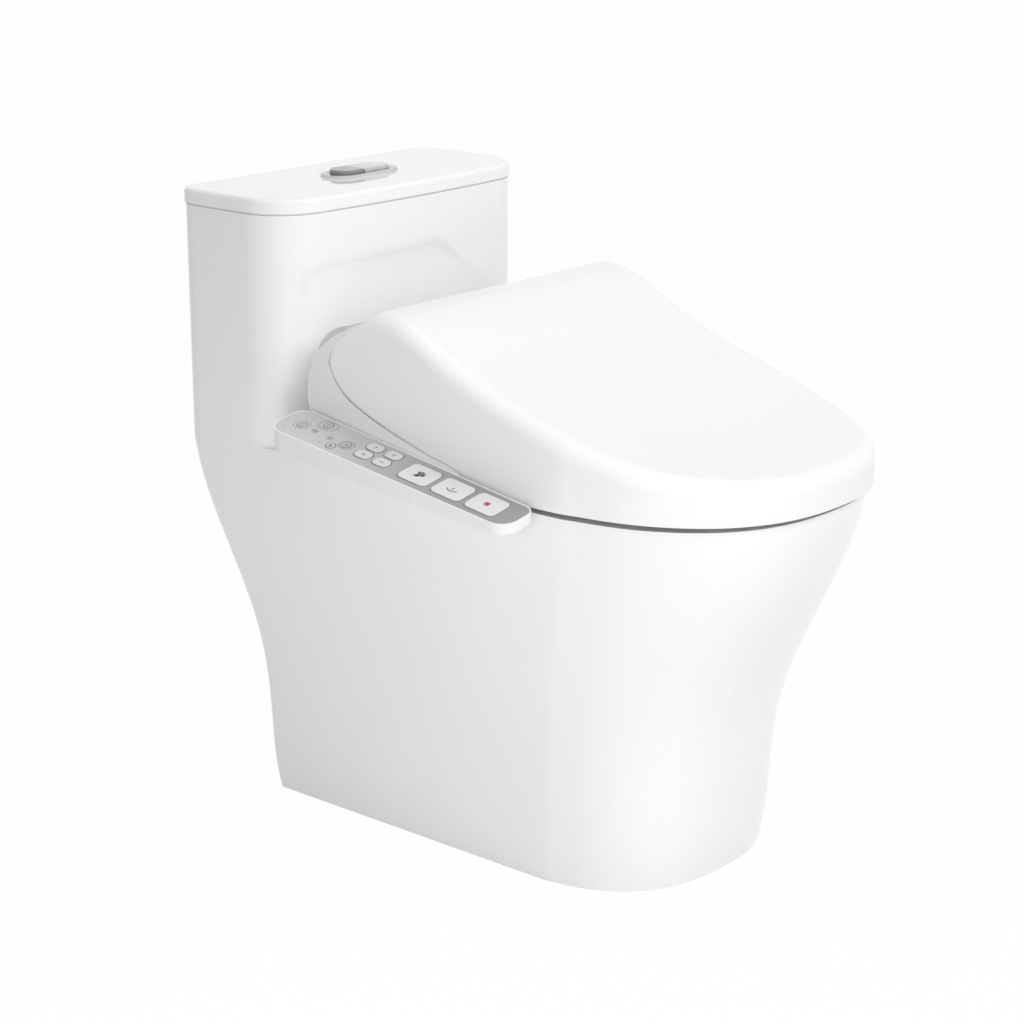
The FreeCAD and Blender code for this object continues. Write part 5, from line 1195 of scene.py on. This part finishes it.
@dataclass(frozen=True)
class Camera:
    """The photograph's camera.

    Attributes:
        place: Where it stands, in metres.
        azimuth: Its bearing in degrees, 0 looking along +Y.
        elevation: Its height above the horizon in degrees.
        lens: Its focal length in millimetres.
        film: Its frame's width in millimetres.
        clip: The nearest and the farthest distance that it sees, in metres.
    """

    place: Place = (-1.9533, -1.7027, 1.0886)
    azimuth: float = -49.126
    elevation: float = 16.538
    lens: float = 90.19
    film: float = 36.0
    clip: tuple[float, float] = (0.05, 30.0)

    def build(self) -> None:
        """Stand the camera in the scene and make it the scene's camera."""
        data = bpy.data.cameras.new("photo_camera")
        data.sensor_width = self.film
        data.lens = self.lens
        data.clip_start, data.clip_end = self.clip
        camera = bpy.data.objects.new("photo_camera", data)
        bpy.context.scene.collection.objects.link(camera)
        turn, rise = math.radians(self.azimuth), math.radians(self.elevation)
        back = Vector(
            (math.sin(turn) * math.cos(rise), -math.cos(turn) * math.cos(rise), math.sin(rise))
        )
        right = Vector((math.cos(turn), math.sin(turn), 0))
        axes = Matrix((right, back.cross(right), back)).transposed()
        camera.matrix_world = Matrix.Translation(self.place) @ axes.to_4x4()
        bpy.context.scene.camera = camera


@dataclass(frozen=True)
class Lamp:
    """A soft rectangular lamp that neither the camera nor a mirror shows.

    Attributes:
        name: Its name.
        place: Where it hangs, in metres.
        aim: The point that it faces.
        size: Its width and height in metres.
        power: Its power in watts.
    """

    name: str
    place: Place
    aim: Place
    size: tuple[float, float]
    power: float

    def build(self) -> None:
        """Hang the lamp."""
        data = bpy.data.lights.new(self.name, "AREA")
        data.shape = "RECTANGLE"
        data.size, data.size_y = self.size
        data.energy = self.power
        lamp = bpy.data.objects.new(self.name, data)
        lamp.location = self.place
        way = Vector(self.aim) - Vector(self.place)
        lamp.rotation_euler = way.to_track_quat("-Z", "Y").to_euler()
        lamp.visible_camera = False
        lamp.visible_glossy = False
        bpy.context.scene.collection.objects.link(lamp)


@dataclass
class Studio:
    """Pale floor, white surround and soft lamps.

    Attributes:
        floor_size: Half the floor's side in metres.
        floor_colour: The floor's own colour.
        floor_rough: The floor's roughness.
        floor_white: The share of plain white that the camera sees in the floor.
        fill: The strength of the even light from all round.
    """

    floor_size: float = 12.0
    floor_colour: Colour = (0.90, 0.90, 0.90)
    floor_rough: float = 0.8
    floor_white: float = 0.975
    fill: float = 0.35
    lamps: tuple[Lamp, ...] = (
        Lamp("key_lamp", (0.0, -2.7, 2.5), (0.0, -0.1, 0.35), (2.4, 1.8), 58.0),
        Lamp("near_lamp", (-1.05, -0.62, 0.45), (-0.15, -0.15, 0.3), (0.7, 0.7), 3.3),
        Lamp("top_lamp", (0.3, 0.2, 3.0), (0.0, 0.0, 0.4), (2.0, 2.0), 19.0),
    )

    def floor(self) -> None:
        """Lay the floor: the camera and mirror rays see it mixed with plain white."""
        half = self.floor_size
        corners = [(-half, -half, 0.0), (half, -half, 0.0), (half, half, 0.0), (-half, half, 0.0)]
        mesh = bpy.data.meshes.new("studio_floor")
        mesh.from_pydata(corners, [], [(0, 1, 2, 3)])
        floor = bpy.data.objects.new("studio_floor", mesh)
        bpy.context.scene.collection.objects.link(floor)
        material, net, shader = blank_material("studio_floor")
        shader.inputs["Base Color"].default_value = (*self.floor_colour, 1)
        shader.inputs["Roughness"].default_value = self.floor_rough
        shader.inputs["Specular IOR Level"].default_value = 0.0
        white = net.add("ShaderNodeEmission", Strength=1.0)
        share = net.add("ShaderNodeMath", operation="MULTIPLY")
        share.inputs[1].default_value = self.floor_white
        net.link(seen_rays(net), share.inputs[0])
        mix = net.add("ShaderNodeMixShader")
        net.link(share.outputs["Value"], mix.inputs["Fac"])
        net.link(shader.outputs["BSDF"], mix.inputs[1])
        net.link(white.outputs["Emission"], mix.inputs[2])
        out = material.node_tree.nodes["Material Output"]
        net.link(mix.outputs["Shader"], out.inputs["Surface"])
        mesh.materials.append(material)

    def surround(self) -> None:
        """Make the world plain white to the camera and to mirrors, and a soft fill to the rest."""
        world = bpy.data.worlds.new("studio_world")
        world.use_nodes = True
        bpy.context.scene.world = world
        net = NodeNet(world.node_tree)
        back = world.node_tree.nodes["Background"]
        back.inputs["Color"].default_value = (1, 1, 1, 1)
        strength = net.add("ShaderNodeMapRange", To_Min=self.fill, To_Max=1.0)
        net.link(seen_rays(net), strength.inputs["Value"])
        net.link(strength.outputs["Result"], back.inputs["Strength"])

    def build(self) -> None:
        """Lay the floor, hang the lamps and set the view."""
        self.floor()
        self.surround()
        for lamp in self.lamps:
            lamp.build()
        bpy.context.scene.view_settings.view_transform = "Standard"


def seen_rays(net: NodeNet) -> bpy.types.NodeSocket:
    """Find a socket that is 1 for camera, glossy and transmission rays and 0 for the rest.

    Args:
        net: The tree that gets the nodes.

    Returns:
        The output socket.
    """
    path = net.add("ShaderNodeLightPath")
    first = net.add("ShaderNodeMath", operation="MAXIMUM")
    second = net.add("ShaderNodeMath", operation="MAXIMUM")
    net.link(path.outputs["Is Camera Ray"], first.inputs[0])
    net.link(path.outputs["Is Glossy Ray"], first.inputs[1])
    net.link(first.outputs["Value"], second.inputs[0])
    net.link(path.outputs["Is Transmission Ray"], second.inputs[1])
    return second.outputs["Value"]


# ---------------------------------------- main


# The round keys show the fascia's grey, not the white of the other keys.
ROUND_KEYS = ("power_key", "light_key", "water_heat_key", "seat_heat_key")


@dataclass
class Dresser:
    """Stands a smooth and finished copy in for every CAD node.

    Attributes:
    """

    frame: dict

    def build(self) -> None:
        """Dress every node."""
        record = self.frame["record"]
        slots = {row["node"]: row["material_slot"] for row in record["subparts"]}
        slots.update({name: "fascia_grey" for name in ROUND_KEYS})
        for body, members in record["behaviour"]["bodies"].items():
            for name in members:
                dressed_copy(self.frame["nodes"][name], body, slots[name])
                LOG.info("dressed %s as %s", name, slots[name])


def listed(corners: tuple[Vector, Vector]) -> list[list[float]]:
    """Two corners as plain lists of numbers."""
    return [list(corner) for corner in corners]


def main() -> None:
    """Load the frame, dress it, build the scene's own pieces and set up the studio."""
    logging.basicConfig(level=logging.INFO, format="%(message)s")
    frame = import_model()
    Dresser(frame).build()
    ControlArm().build()
    ArmFairing().build()
    LidJoint().build()
    Camera().build()
    Studio().build()
    bpy.context.view_layer.update()


if __name__ == "__main__":
    main()
